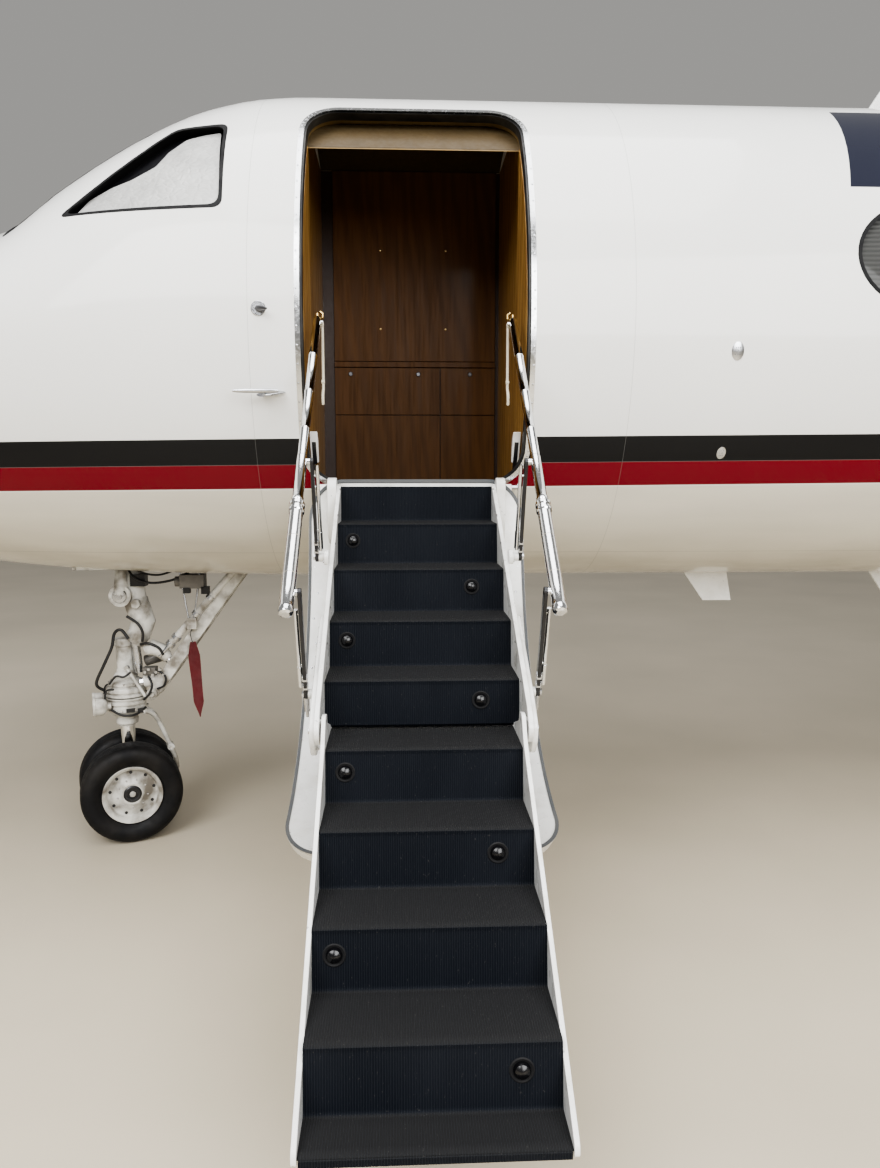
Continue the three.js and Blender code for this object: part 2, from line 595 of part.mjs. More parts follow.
function tail() {
  const finRing = (z) =>
    symmetric(finSection(z).chord, FIN.share).map(([a, b]) => [finSection(z).lead + a, b, z]);
  const whole = cut(loft([FIN.lowZ, FIN.highZ].map(finRing)), hull(3400, 10570, -GAP));
  const upright = largest(whole);
  const hinge = [RUDDER.from, RUDDER.to].map((z) => {
    const s = finSection(z);
    return [s.lead + s.chord * RUDDER.share, 0, z];
  });
  const rudderNose = thicknessAt(RUDDER.share) * FIN.share;
  const noses = [RUDDER.from, RUDDER.to].map((z) => rudderNose * finSection(z).chord * 0.98);
  const rudder = upright.intersect(controlRegion(hinge, noses, 0, 0, 500));
  add("rudder", join(rudder, ...hingePins(hinge)), "white");

  const tailRing = (y) =>
    symmetric(tailSection(y).chord, 0.09).map(([a, b]) => [tailSection(y).lead + a, y, TAIL.z + b]);
  const plane = loft([-TAIL.half, 0, TAIL.half].map(tailRing));
  const bullet = turned("x", [8650, 0, TAIL.z], [[0, 0], [90, 120], [TAIL.bullet, 600], [TAIL.bullet, 2000],
    [110, 2900], [0, 3200]], 24);
  let across = join(plane, bullet);
  for (const [name, side] of [["port", -1], ["starboard", 1]]) {
    const ends = [ELEVATOR.from, ELEVATOR.to].map((y) => {
      const s = tailSection(y);
      return [s.lead + s.chord * ELEVATOR.share, side * y, TAIL.z];
    });
    const noseShare = thicknessAt(ELEVATOR.share) * 0.09;
    const radii = [ELEVATOR.from, ELEVATOR.to].map((y) => noseShare * tailSection(y).chord * 0.98);
    across = cut(across, controlRegion(ends, radii, CLEAR, CLEAR, 300), ...hingePins(ends, PIN.play));
    const surface = plane.intersect(controlRegion(ends, radii, 0, 0, 300));
    add("elevator_" + name, join(surface, ...hingePins(ends)), "white");
  }
  add("tailplane", across, "white");
  const capClear = bar([8000, 0, TAIL.z], [13000, 0, TAIL.z], TAIL.bullet + GAP, TAIL.bullet + GAP, 24);
  const rudderRoom = controlRegion(hinge, noses, CLEAR, CLEAR, 500);
  const fin = cut(upright, rudderRoom, ...hingePins(hinge, PIN.play), capClear);
  add("fin", largest(fin), "white");
}

// Tyre and wheel profiles: (radius, place along the axle) from the wheel's middle
function tyreProfile(radius, width, rim) {
  const half = width / 2;
  return [[rim, -half * 0.75], [radius * 0.78, -half], [radius * 0.93, -half * 0.86],
    [radius, -half * 0.5], [radius, half * 0.5], [radius * 0.93, half * 0.86], [radius * 0.78, half],
    [rim, half * 0.75], [rim, -half * 0.75]];
}

// A twin-wheel set on one turning axle
function wheelSet(names, centre, gear, rim, bearing, segments) {
  const half = gear.track / 2;
  const profile = tyreProfile(gear.tyre, gear.width, rim);
  let wheels;
  for (const [name, side] of [[names.near, -1], [names.far, 1]]) {
    const middle = [centre[0], centre[1] + side * half, centre[2]];
    add(name, turned("y", middle, profile, segments), "tyre");
    const w = gear.width / 2;
    const dish = [
      [0, w * 0.55], [rim * 0.42, w * 0.6], [rim * 0.5, w * 0.25], [rim * 0.86, w * 0.2], [rim * 0.9, w * 0.72],
      [rim - GAP, w * 0.72], [rim - GAP, -w * 0.72], [rim * 0.88, -w * 0.5], [0, -w * 0.35],
    ];
    const wheel = turned("y", middle, dish.map(([r, a]) => [r, a * side]), segments);
    wheels = wheels ? join(wheels, wheel) : wheel;
  }
  const axleEnd = (y) => [centre[0], centre[1] + y, centre[2]];
  const axle = bar(axleEnd(-half), axleEnd(half), bearing * 0.6, bearing * 0.6, 16);
  add(names.wheels, join(wheels, axle), "gear");
}

const AXLE = { nose: 22, main: 42 };
const RUNNING = 0.6;
const LOOSE = 1.1;

function noseGear() {
  const { x, tyre: z } = NOSE_GEAR;
  const legX = x + 80;
  const top = join(
    box(legX - 60, legX + 60, -WELL.half + GAP, WELL.half - GAP, 1560, 1660),
    bar([legX, 0, 1640], [legX - 10, 0, 1400], 62, 55),
    bar([legX - 40, -70, 1400], [legX - 40, 70, 1400], 62, 62, 14),
    bar([legX - 10, 0, 1400], [legX + 60, 0, 1180], 62, 50),
    bar([legX + 60, 0, 1180], [x, 0, 1090], 50, 52),
    bar([x, 0, 1120], [x, 0, 865], 44, 40, 20),
    bar([x + 60, 0, 1150], [x + 110, 0, 900], 22),
    turned("z", [x, 0, 0], [[0, 880], [70, 880], [108, 860], [112, 790], [104, 780], [0, 780]], 16),
    bar([x + 70, 0, 830], [x + 165, 0, 800], 30, 26),
  );
  const king = bar([x, 0, 640], [x, 0, 860], 31, 31, 16);
  add("nose_leg", cut(top, king), "gear");

  const spread = Math.sin(rad(NOSE_GEAR.turned));
  const ahead = Math.cos(rad(NOSE_GEAR.turned));
  const place = (forward, out, height) =>
    [x - forward * ahead + out * spread, -forward * spread - out * ahead, height];
  const steering = join(
    turned("z", [x, 0, 0], [
      [0, 850], [30, 850], [30, 774], [104, 774], [108, 690], [96, 668], [52, 660], [52, 630],
      [34, 628], [34, 330], [0, 330],
    ], 16),
    bar([x, 0, 345], [x, 0, 225], 46, 46, 12),
    bar(place(90, 55, 728), place(176, 55, 728), 30, 44, 12),
    bar(place(90, -55, 728), place(176, -55, 728), 30, 44, 12),
    bar(place(-70, 0, 700), place(-150, 0, 640), 20),
    bar(place(-150, 0, 640), place(-220, 0, 440), 20, 16),
    bar(place(-220, 0, 440), place(-40, 0, 300), 18, 16),
  );
  const turn = new THREE.Matrix4().makeTranslation(x, 0, 0)
    .multiply(new THREE.Matrix4().makeRotationZ(rad(NOSE_GEAR.turned)))
    .multiply(new THREE.Matrix4().makeTranslation(-x, 0, 0));
  const eyeRadius = AXLE.nose * 0.6 + RUNNING;
  const eye = moved(bar([x, -80, z], [x, 80, z], eyeRadius, eyeRadius, 16), turn);
  add("nose_steering", cut(steering, eye), "gear");

  const before = jet.children.length;
  wheelSet({ near: "nose_tyre_port", far: "nose_tyre_starboard", wheels: "nose_wheels" },
    [x, 0, z], NOSE_GEAR, 150, AXLE.nose, 20);
  for (const node of jet.children.slice(before)) node.geometry.applyMatrix4(turn);

  const foot = [x + 165, 1, 800];
  const head = [WELL.to - 60, 0, 1610];
  const brace = join(
    bar([foot[0], -62, foot[2]], [head[0], -62, head[2]], 24),
    bar([foot[0], 62, foot[2]], [head[0], 62, head[2]], 24),
    bar([foot[0] + 40, -62, foot[2] + 46], [foot[0] + 40, 62, foot[2] + 46], 16),
    bar([head[0], -WELL.half + GAP, head[2]], [head[0], WELL.half - GAP, head[2]], 26),
    bar([foot[0], -86, foot[2]], [foot[0], -30 - GAP, foot[2]], 28),
    bar([foot[0], 30 + GAP, foot[2]], [foot[0], 86, foot[2]], 28),
  );
  const footRoom = new THREE.BoxGeometry(150, 60 + 2 * GAP, 150).translate(foot[0] - 20, 0, foot[2]);
  add("nose_brace", cut(brace, solid(footRoom)), "gear");
}

function mainGear() {
  for (const [name, side] of [["port", -1], ["starboard", 1]]) {
    const { x, tyre: z } = MAIN_GEAR;
    const y = side * MAIN_GEAR.y;
    const leg = join(
      bar([x, y, 1640 - GAP], [x, y, 900], 95, 85, 14),
      bar([x, y, 920], [x, y, 380], 60, 60, 14),
      bar([x, y, 520], [x, y, 345], 84, 84, 14),
      bar([x + 90, y, 1380], [x + 190, y, 860], 34),
      bar([x + 190, y, 860], [x + 40, y, 470], 34),
      bar([x, y, 1330], [x + 110, y, 1380], 40),
      box(x - 190, x + 190, y + side * 100, y + side * 128, 820, 1430),
      bar([x, y, 1200], [x, y + side * 110, 1200], 30),
      bar([x, y, 950], [x, y + side * 110, 950], 30),
    );
    const eyeRadius = AXLE.main * 0.6 + RUNNING;
    const eye = bar([x, y - 100, z], [x, y + 100, z], eyeRadius, eyeRadius, 16);
    add("main_leg_" + name, cut(leg, eye), "gear");
    wheelSet({ near: `main_tyre_${name}_a`, far: `main_tyre_${name}_b`, wheels: "main_wheels_" + name },
      [x, y, z], MAIN_GEAR, 235, AXLE.main, 20);
  }
}

// Airstair, drawn open, in (Y, Z) outlines pushed along X
const OPEN_TURN = 144;
const SEAL = 20;
const DOOR_PANEL = 70;
// Door arm outline from the hinge, as it stands with the door closed
const DOOR_ARM = [[-18, 0], [0, -18], [12, -8], [11, 12], [4, 36], [-5, 58], [-11, 74], [-4, 84], [4, 110],
  [-26, 112], [-38, 80], [-32, 40]];
const TREAD = 15;
const UPPER = { from: 0, to: 3, half: 318, side: 16 };
const LOWER = { from: 4, to: 8, half: 299, side: 13 };
const TOP_PLATE = { y: -985, z: 1945 };
const RAIL = {
  top: [-1050, 2640], end: [-2260, 1580], gripFrom: 0.55, x: 413, rod: 16, grip: 20, collar: 26, pin: 6,
};
const KNUCKLE = { near: 384, far: 418, radius: 20, hole: 10, play: 4 };
const ARMS = [["upper", [-1600, 1690]], ["lower", [-2056, 1288]]];
const ARM = { reach: [-134, 350], x: 372, thick: 12, half: 14 };

// The last tread is shorter, so that it clears the top of the doorway as the stair folds
const stepAt = (k, ahead) => [STAIR.y - STAIR.run * k + ahead, STAIR.z - STAIR.rise * k];
const nosing = (k) => stepAt(k, k === STAIR.last ? STAIR.lastShort : 0);
const back = (k) => stepAt(k, STAIR.depth);

function treads(range, start, finish) {
  const line = [...start];
  for (let k = range.from; k <= range.to; k++) line.push(back(k), nosing(k));
  line.push(...finish);
  const under = line.map(([y, z]) => [y + TREAD, z - TREAD]).reverse();
  return pushed("x", [...line, ...under], DOOR.x - range.half, DOOR.x + range.half);
}

function stringers(range, outline) {
  return [-1, 1].map((side) => {
    const inner = DOOR.x + side * (range.half - 1);
    const outer = DOOR.x + side * (range.half + range.side);
    return pushed("x", outline, Math.min(inner, outer), Math.max(inner, outer));
  });
}

function slabOpen(grow) {
  const doorway = pushed("y", rounded(DOOR.x - DOOR.half + SEAL - grow, DOOR.x + DOOR.half - SEAL + grow,
    AXIS_Z + DOOR.low + SEAL - grow, AXIS_Z + DOOR.high - SEAL + grow, DOOR.corner), -1500, -300);
  const inside = hull(SPLIT.cockpit - 1, SPLIT.entry + 1, DOOR_PANEL + grow);
  const band = cut(hull(SPLIT.cockpit, SPLIT.entry, -grow), inside);
  const turn = new THREE.Matrix4().makeTranslation(0, DOOR_HINGE.y, DOOR_HINGE.z)
    .multiply(new THREE.Matrix4().makeRotationX(rad(OPEN_TURN)))
    .multiply(new THREE.Matrix4().makeTranslation(0, -DOOR_HINGE.y, -DOOR_HINGE.z));
  return moved(band.intersect(doorway), turn);
}

const alongX = (x0, x1, [y, z], radius, sides = 8) => bar([x0, y, z], [x1, y, z], radius, radius, sides);

function airstair() {
  const hinge = [DOOR_HINGE.y, DOOR_HINGE.z];
  const fold = [STAIR_FOLD.y, STAIR_FOLD.z];
  const both = (from, to, make) => [-1, 1].map((side) => {
    const ends = [DOOR.x + side * from, DOOR.x + side * to];
    return make(Math.min(...ends), Math.max(...ends));
  });

  let panel = slabOpen(0);
  const arm = DOOR_ARM.map(([y, z]) => {
    const [c, d] = [Math.cos(rad(OPEN_TURN)), Math.sin(rad(OPEN_TURN))];
    return [hinge[0] + y * c - z * d, hinge[1] + y * d + z * c];
  });
  const { near, far, radius, hole, play } = KNUCKLE;
  const knuckle = (a, b) => join(pushed("x", arm, a, b), alongX(a, b, hinge, radius));
  panel = join(panel, ...both(near, far, knuckle));
  panel = cut(panel, ...both(near - play, far + play, (a, b) => alongX(a, b, hinge, hole * LOOSE)));
  add("door_panel", panel, "white");

  const stepsTop = [[TOP_PLATE.y, TOP_PLATE.z], [-1122, TOP_PLATE.z]];
  const riserEnd = [-2069, 1202];
  const shifted = ([y, z], ahead, lift) => [y + ahead, z + lift];
  const upperSide = [
    [-1000, 1946], [-1125, 1962], shifted(nosing(0), -10, 22), [-2250, 1275], [-2290, 1225], [-2262, 1180],
    [-2210, 1165], [-2110, 1110], [-1700, 1290], [-1420, 1480], [-1180, 1700], [-1050, 1850],
  ];
  const upperBodies = join(
    treads(UPPER, stepsTop, [riserEnd]),
    ...stringers(UPPER, upperSide),
    ...both(UPPER.half + UPPER.side - 1, ARM.x - GAP, (a, b) => alongX(a, b, ARMS[0][1], 16)),
    ...both(UPPER.half + UPPER.side - 1, ARM.x - GAP, (a, b) => alongX(a, b, ARMS[1][1], 16)),
    ...both(UPPER.half + UPPER.side - 1, ARM.x + ARM.thick - 2, (a, b) => alongX(a, b, ARMS[0][1], 6)),
    ...both(UPPER.half + UPPER.side - 1, ARM.x + ARM.thick - 2, (a, b) => alongX(a, b, ARMS[1][1], 6)),
  );
  const foldHole = (a, b) => alongX(a, b, fold, 8 * LOOSE);
  const foldHoles = both(LOWER.half - 5, UPPER.half + UPPER.side + 5, foldHole);
  add("upper_stair", largest(cut(upperBodies, slabOpen(GAP), ...foldHoles)), "black");

  const lowerSide = [
    [-2200, 1262], [-2250, 1268], shifted(nosing(4), -12, 20), shifted(nosing(8), -4, 12),
    shifted(nosing(8), -4, -18), shifted(back(8), 0, -18), shifted(back(5), 25, -25),
    shifted(back(4), 18, -18), shifted(back(4), 14, 14), [-2190, 1230],
  ];
  const lower = join(
    treads(LOWER, [], []), ...stringers(LOWER, lowerSide),
    ...both(LOWER.half + LOWER.side - 1, UPPER.half + UPPER.side, (a, b) => alongX(a, b, fold, 8)),
  );
  add("lower_stair", lower, "black");

  const at = (t) => [mix(RAIL.top[0], RAIL.end[0], t), mix(RAIL.top[1], RAIL.end[1], t)];
  for (const [name, side] of [["fore", -1], ["aft", 1]]) {
    const x = DOOR.x + side * RAIL.x;
    const point = (t) => [x, ...at(t)];
    const grip = join(bar(point(RAIL.gripFrom), point(1), RAIL.grip, RAIL.grip, 12),
      bar(point(RAIL.gripFrom), point(RAIL.gripFrom + 0.03), RAIL.collar, RAIL.collar, 12));
    const bore = bar(point(RAIL.gripFrom - 0.01), point(0.985), RAIL.rod + RUNNING, RAIL.rod + RUNNING, 12);
    const inner = DOOR.x + side * (ARM.x + ARM.thick + GAP);
    let rail = cut(grip, bore);
    for (const [, foot] of ARMS) {
      const pivot = [foot[0] + ARM.reach[0], foot[1] + ARM.reach[1]];
      const boss = [Math.min(inner, x - side * 4), Math.max(inner, x - side * 4)];
      const pin = [DOOR.x + side * (ARM.x + 2), x - side * 4].sort((a, b) => a - b);
      rail = join(rail, cut(join(alongX(...boss, pivot, 12), alongX(...pin, pivot, RAIL.pin)), bore));
    }
    add("rail_" + name, largest(rail), "metal");
    add("rail_rod_" + name, bar(point(0), point(0.71), RAIL.rod, RAIL.rod, 12), "metal");
    for (const [label, foot] of ARMS) {
      const pivot = [foot[0] + ARM.reach[0], foot[1] + ARM.reach[1]];
      const [a, b] = [DOOR.x + side * ARM.x, DOOR.x + side * (ARM.x + ARM.thick)].sort((p, q) => p - q);
      const length = Math.hypot(...ARM.reach);
      const across = [(-ARM.reach[1] / length) * ARM.half, (ARM.reach[0] / length) * ARM.half];
      const outline = [[foot[0] + across[0], foot[1] + across[1]], [foot[0] - across[0], foot[1] - across[1]],
        [pivot[0] - across[0], pivot[1] - across[1]], [pivot[0] + across[0], pivot[1] + across[1]]];
      const body = join(pushed("x", outline, a, b), alongX(a, b, foot, 16), alongX(a, b, pivot, 14));
      const holes = [foot, pivot].map((place) => alongX(a - 1, b + 1, place, 6 * LOOSE));
      add(`${label}_arm_${name}`, cut(body, ...holes), "black");
    }
  }
}

fuselage();
glazing();
vestibule();
wings();
fairing();
antennas();
engines();
tail();
noseGear();
mainGear();
airstair();

export default jet;
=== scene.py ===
# Dresses a packed business jet: painted skin, entry, open airstair, landing gear, wings, engines and stage.
# Metres. +X aft, +Y starboard, +Z up, the ground at Z 0.
import json
import math

import bmesh
import bpy
from mathutils import Matrix, Vector


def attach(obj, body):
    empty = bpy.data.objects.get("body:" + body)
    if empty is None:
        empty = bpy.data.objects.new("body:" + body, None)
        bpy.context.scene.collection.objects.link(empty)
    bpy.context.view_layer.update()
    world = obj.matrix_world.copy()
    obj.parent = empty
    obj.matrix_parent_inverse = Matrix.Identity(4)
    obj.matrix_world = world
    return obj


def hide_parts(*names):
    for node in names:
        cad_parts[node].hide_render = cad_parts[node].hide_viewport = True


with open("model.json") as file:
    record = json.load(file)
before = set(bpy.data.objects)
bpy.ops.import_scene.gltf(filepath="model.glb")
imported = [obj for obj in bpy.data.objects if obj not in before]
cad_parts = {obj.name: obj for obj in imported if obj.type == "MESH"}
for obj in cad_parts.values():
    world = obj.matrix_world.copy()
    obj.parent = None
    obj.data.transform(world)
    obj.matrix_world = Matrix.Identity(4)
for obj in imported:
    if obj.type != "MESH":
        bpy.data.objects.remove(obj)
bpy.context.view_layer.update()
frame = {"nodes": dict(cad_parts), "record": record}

bl_info = {
    "name": "Business Jet Dressing",
    "version": (1, 0, 0),
    "blender": (4, 5, 0),
    "location": "View3D > Sidebar > Jet",
    "description": "Builds the finished surfaces of a parked business jet with its airstair open",
    "category": "Object",
}

# Fuselage sections: x, half width, top, bottom and middle heights from the axis
AXIS = 2.65
STATIONS = [
    (-13.46, 0.02, -0.31, -0.35, -0.33),
    (-13.40, 0.15, -0.205, -0.465, -0.33),
    (-13.22, 0.30, -0.08, -0.60, -0.32),
    (-12.90, 0.48, 0.075, -0.77, -0.29),
    (-12.45, 0.67, 0.24, -0.915, -0.25),
    (-12.00, 0.825, 0.365, -1.02, -0.19),
    (-11.50, 0.96, 0.47, -1.10, -0.12),
    (-11.08, 1.045, 0.545, -1.148, -0.07),
    (-10.75, 1.10, 0.80, -1.172, -0.04),
    (-10.42, 1.14, 1.01, -1.186, -0.01),
    (-10.15, 1.165, 1.13, -1.192, 0.0),
    (-9.88, 1.188, 1.185, -1.195, 0.0),
    (-9.68, 1.195, 1.195, -1.195, 0.0),
    (3.40, 1.195, 1.195, -1.195, 0.0),
    (4.60, 1.18, 1.192, -1.12, 0.03),
    (6.10, 1.09, 1.175, -0.90, 0.13),
    (7.60, 0.90, 1.12, -0.56, 0.28),
    (9.00, 0.62, 1.02, -0.16, 0.42),
    (10.10, 0.33, 0.88, 0.19, 0.53),
    (10.57, 0.13, 0.72, 0.44, 0.58),
]
HULL_SIDES = 96
SMALLEST_RADIUS = 1e-5
MERGE = 1e-6
WALL = 0.085
DOOR_X = -9.2
DOOR = {"half": 0.475, "low": 1.955, "high": 3.60, "corner": 0.15}
ROOM = {"half": 0.505, "far": 0.36, "top": 3.69, "floor": 1.955}
CABIN_WINDOWS = [-7.04 + 1.24 * k for k in range(6)]
CABIN_WINDOW = {"z": 2.90, "half_length": 0.33, "half_height": 0.24}
SIDE_WINDOW = [(-10.700, 3.062), (-9.985, 3.072), (-10.000, 3.505), (-10.245, 3.503)]
WINDSHIELD = [(-11.06, 0.06), (-10.40, 0.06), (-10.40, 0.56), (-11.00, 0.80)]


# Meshes


class Form:
    """Gathers closed bodies into one piece."""

    def __init__(self):
        self.verts = []
        self.faces = []

    def put(self, verts, faces):
        """Adds one body's points and faces."""
        start = len(self.verts)
        self.verts += [Vector(v) for v in verts]
        self.faces += [[start + i for i in face] for face in faces]
        return self

    def box(self, low, high):
        """A block between two opposite corners."""
        corners = [(x, y, z) for x in (low[0], high[0]) for y in (low[1], high[1]) for z in (low[2], high[2])]
        faces = [(0, 1, 3, 2), (4, 6, 7, 5), (0, 4, 5, 1), (2, 3, 7, 6), (0, 2, 6, 4), (1, 5, 7, 3)]
        return self.put(corners, faces)

    def prism(self, axis, outline, start, end):
        """An outline of (Y, Z), (Z, X) or (X, Y) pairs pushed along x, y or z, from either end."""
        count = len(outline)
        order = {"x": (2, 0, 1), "y": (1, 2, 0), "z": (0, 1, 2)}[axis]
        spots = [(*pair, place) for place in sorted((start, end)) for pair in outline]
        verts = [tuple(spot[i] for i in order) for spot in spots]
        faces = [tuple(range(count)), tuple(range(2 * count - 1, count - 1, -1))]
        for i in range(count):
            j = (i + 1) % count
            faces.append((i, i + count, j + count, j))
        return self.put(verts, faces)

    def rings(self, rings):
        """A closed skin over rings of equal point count, its ends capped."""
        count = len(rings[0])
        verts = [p for ring in rings for p in ring]
        faces = []
        for r in range(len(rings) - 1):
            for i in range(count):
                j = (i + 1) % count
                faces.append((r * count + i, r * count + j, (r + 1) * count + j, (r + 1) * count + i))
        faces.append(tuple(reversed(range(count))))
        faces.append(tuple(range((len(rings) - 1) * count, len(rings) * count)))
        return self.put(verts, faces)

    def rod(self, start, end, radius, end_radius=None, sides=20):
        """A round bar, a cone where its end has a radius of its own."""
        return self.hose([start, end], [radius, radius if end_radius is None else end_radius], sides)

    def hose(self, points, radius, sides=12):
        """A round tube along points, its ends closed; radius is one number or one for each point."""
        points = [Vector(p) for p in points]
        radii = radius if isinstance(radius, (list, tuple)) else [radius] * len(points)
        rings = []
        side = None
        for k, point in enumerate(points):
            along = (points[min(k + 1, len(points) - 1)] - points[max(k - 1, 0)]).normalized()
            if side is None:
                side = along.orthogonal().normalized()
            side = (side - along * side.dot(along)).normalized()
            other = along.cross(side)
            outward = [side * math.cos(t) + other * math.sin(t) for t in around(sides)]
            rings.append([point + out * radii[k] for out in outward])
        return self.rings(rings)

    def lathe(self, axis, centre, profile, sides=48):
        """A turned body from (radius, place along the axis) pairs, closed where it meets the axis."""
        along = Vector(axis).normalized()
        side = along.orthogonal().normalized()
        other = along.cross(side)
        closed = profile[0] == profile[-1]
        rows = profile[:-1] if closed else profile
        verts = []
        outward = [side * math.cos(t) + other * math.sin(t) for t in around(sides)]
        for radius, place in rows:
            middle = Vector(centre) + along * place
            verts += [middle + out * max(radius, SMALLEST_RADIUS) for out in outward]
        faces = []
        spans = len(rows) if closed else len(rows) - 1
        for r in range(spans):
            below = (r + 1) % len(rows)
            for i in range(sides):
                j = (i + 1) % sides
                faces.append((r * sides + i, r * sides + j, below * sides + j, below * sides + i))
        if not closed:
            faces.append(tuple(reversed(range(sides))))
            faces.append(tuple(range((len(rows) - 1) * sides, len(rows) * sides)))
        return self.put(verts, faces)

    def moved(self, matrix):
        self.verts = [matrix @ v for v in self.verts]
        return self

    def add(self, other):
        return self.put(other.verts, other.faces)

    def object(self, name, look=None):
        """A mesh object with one finish, or with none where it is a cutting tool."""
        mesh = bpy.data.meshes.new(name)
        mesh.from_pydata(self.verts, [], self.faces)
        if look:
            mesh.materials.append(finish(look))
        made = bpy.data.objects.new(name, mesh)
        bpy.context.scene.collection.objects.link(made)
        tidy(made)
        return made


def tidy(piece):
    """Merges doubles and turns every face outwards."""
    work = bmesh.new()
    work.from_mesh(piece.data)
    bmesh.ops.remove_doubles(work, verts=work.verts, dist=MERGE)
    bmesh.ops.recalc_face_normals(work, faces=work.faces)
    work.to_mesh(piece.data)
    work.free()


def baked(piece):
    """The piece with its modifiers turned into its mesh."""
    view = bpy.context.evaluated_depsgraph_get()
    mesh = bpy.data.meshes.new_from_object(piece.evaluated_get(view))
    old = piece.data
    piece.modifiers.clear()
    piece.data = mesh
    mesh.name = piece.name
    bpy.data.meshes.remove(old)
    return piece


def carved(piece, action, *tools):
    """Cuts the tools from the piece, or keeps what is common or both, and removes the tools."""
    for tool in tools:
        step = piece.modifiers.new("carve", "BOOLEAN")
        step.operation = action
        step.solver = "EXACT"
        step.object = tool
        baked(piece)
    for tool in tools:
        mesh = tool.data
        bpy.data.objects.remove(tool)
        bpy.data.meshes.remove(mesh)
    return piece


def settle(piece, body, smooth=32, replaces=(), bevel=0.0):
    """Gives a piece its shading, its edge rounding and its body, and hides the nodes it replaces."""
    piece.data.shade_smooth()
    piece.data.set_sharp_from_angle(angle=math.radians(smooth))
    if bevel:
        edge = piece.modifiers.new("edge", "BEVEL")
        edge.width = bevel
        edge.segments = 2
        edge.limit_method = "ANGLE"
        edge.angle_limit = math.radians(40)
        edge.harden_normals = True
    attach(piece, body)
    if replaces:
        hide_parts(*replaces)
    return piece


def smooth_rows(rows, x):
    """Values of a table at x, on a curve that doesn't overshoot its rows."""
    last = len(rows) - 1
    i = next((k for k in range(last) if x <= rows[k + 1][0]), last - 1)
    low, high = rows[i], rows[i + 1]
    width = high[0] - low[0]
    t = min(max((x - low[0]) / width, 0.0), 1.0)

    def slope(k, value):
        """The curve's slope at a row, or None at the table's two ends."""
        if k == 0 or k == last:
            return None
        before = (rows[k][value] - rows[k - 1][value]) / (rows[k][0] - rows[k - 1][0])
        after = (rows[k + 1][value] - rows[k][value]) / (rows[k + 1][0] - rows[k][0])
        return 0.0 if before * after <= 0 else 2 * before * after / (before + after)

    result = []
    for value in range(1, len(low)):
        direct = (high[value] - low[value]) / width
        start, end = [direct if way is None else way for way in (slope(i, value), slope(i + 1, value))]
        a = (2 * t**3 - 3 * t**2 + 1) * low[value]
        b = (t**3 - 2 * t**2 + t) * width * start
        c = (-2 * t**3 + 3 * t**2) * high[value]
        d = (t**3 - t**2) * width * end
        result.append(a + b + c + d)
    return result


def hull_ring(x, inset=0.0):
    """The fuselage's section at x, its upper and lower halves each half an ellipse."""
    half, top, bottom, middle = smooth_rows(STATIONS, x)
    ring = []
    for angle in around(HULL_SIDES, 0.5):
        up = math.sin(angle)
        height = (top - middle if up > 0 else middle - bottom) - inset
        ring.append((x, max(half - inset, 0.002) * math.cos(angle), AXIS + middle + max(height, 0.002) * up))
    return ring


def hull(start, end, inset=0.0):
    """The closed fuselage body between two places, moved in by an inset."""
    places = [start]
    while places[-1] < end - MERGE:
        x = places[-1]
        step = 0.03 if x < -13.2 else 0.08 if x < -9.7 else 0.55 if x < 3.3 else 0.2
        places.append(min(x + step, end))
    return Form().rings([hull_ring(x, inset) for x in places])


def hull_band(start, end, outer, inner):
    """A slice of the fuselage wall between two insets."""
    band = hull(start, end, outer).object("band")
    return carved(band, "DIFFERENCE", hull(start - 0.05, end + 0.05, inner).object("core"))


def side_y(x, z):
    """Half width of the fuselage at a height."""
    half, top, bottom, middle = smooth_rows(STATIONS, x)
    up = z - AXIS - middle
    tall = top - middle if up > 0 else middle - bottom
    return half * math.sqrt(max(0.0, 1 - (up / tall) ** 2))


def rounded(x0, x1, z0, z1, corner, steps=12):
    """A rounded door outline as (Z, X) pairs."""
    outline = []
    low, high, fore, aft = z0 + corner, z1 - corner, x0 + corner, x1 - corner
    for cz, cx, start in ((low, aft, 90), (low, fore, 180), (high, fore, 270), (high, aft, 0)):
        for k in range(steps + 1):
            t = math.radians(start + 90 * k / steps)
            outline.append((cz + corner * math.cos(t), cx + corner * math.sin(t)))
    return outline


def around(count, start=0.0):
    """Angles evenly round a circle; start is a share of one step."""
    return [2 * math.pi * (k + start) / count for k in range(count)]


def trail(start, *offsets):
    """Places given by their offsets from a start."""
    return [Vector([a + b for a, b in zip(start, offset)]) for offset in offsets]


def bend(start, here, end, steps=5):
    """Points on a rounded corner from start to end."""
    shares = [s / steps for s in range(steps + 1)]
    return [tuple((1 - t) ** 2 * start + 2 * t * (1 - t) * here + t**2 * end) for t in shares]


def softened(points, corner):
    """A polygon with its corners rounded, as pairs."""
    result = []
    for k, point in enumerate(points):
        here = Vector(point)
        to_last = Vector(points[k - 1]) - here
        to_next = Vector(points[(k + 1) % len(points)]) - here
        reach = min(corner, 0.45 * to_last.length, 0.45 * to_next.length)
        result += bend(here + to_last.normalized() * reach, here, here + to_next.normalized() * reach)
    return result


def grown(points, by):
    """A convex outline moved out by a distance."""
    count = len(points)
    centre = sum((Vector(p) for p in points), Vector((0, 0))) / count
    result = []
    for k in range(count):
        here = Vector(points[k])
        before = (here - Vector(points[k - 1])).normalized()
        after = (Vector(points[(k + 1) % count]) - here).normalized()
        normals = [Vector((d.y, -d.x)) for d in (before, after)]
        normals = [n if n.dot(here - centre) > 0 else -n for n in normals]
        out = (normals[0] + normals[1]).normalized()
        result.append(tuple(here + out * by / max(out.dot(normals[0]), 0.5)))
    return result


# Materials


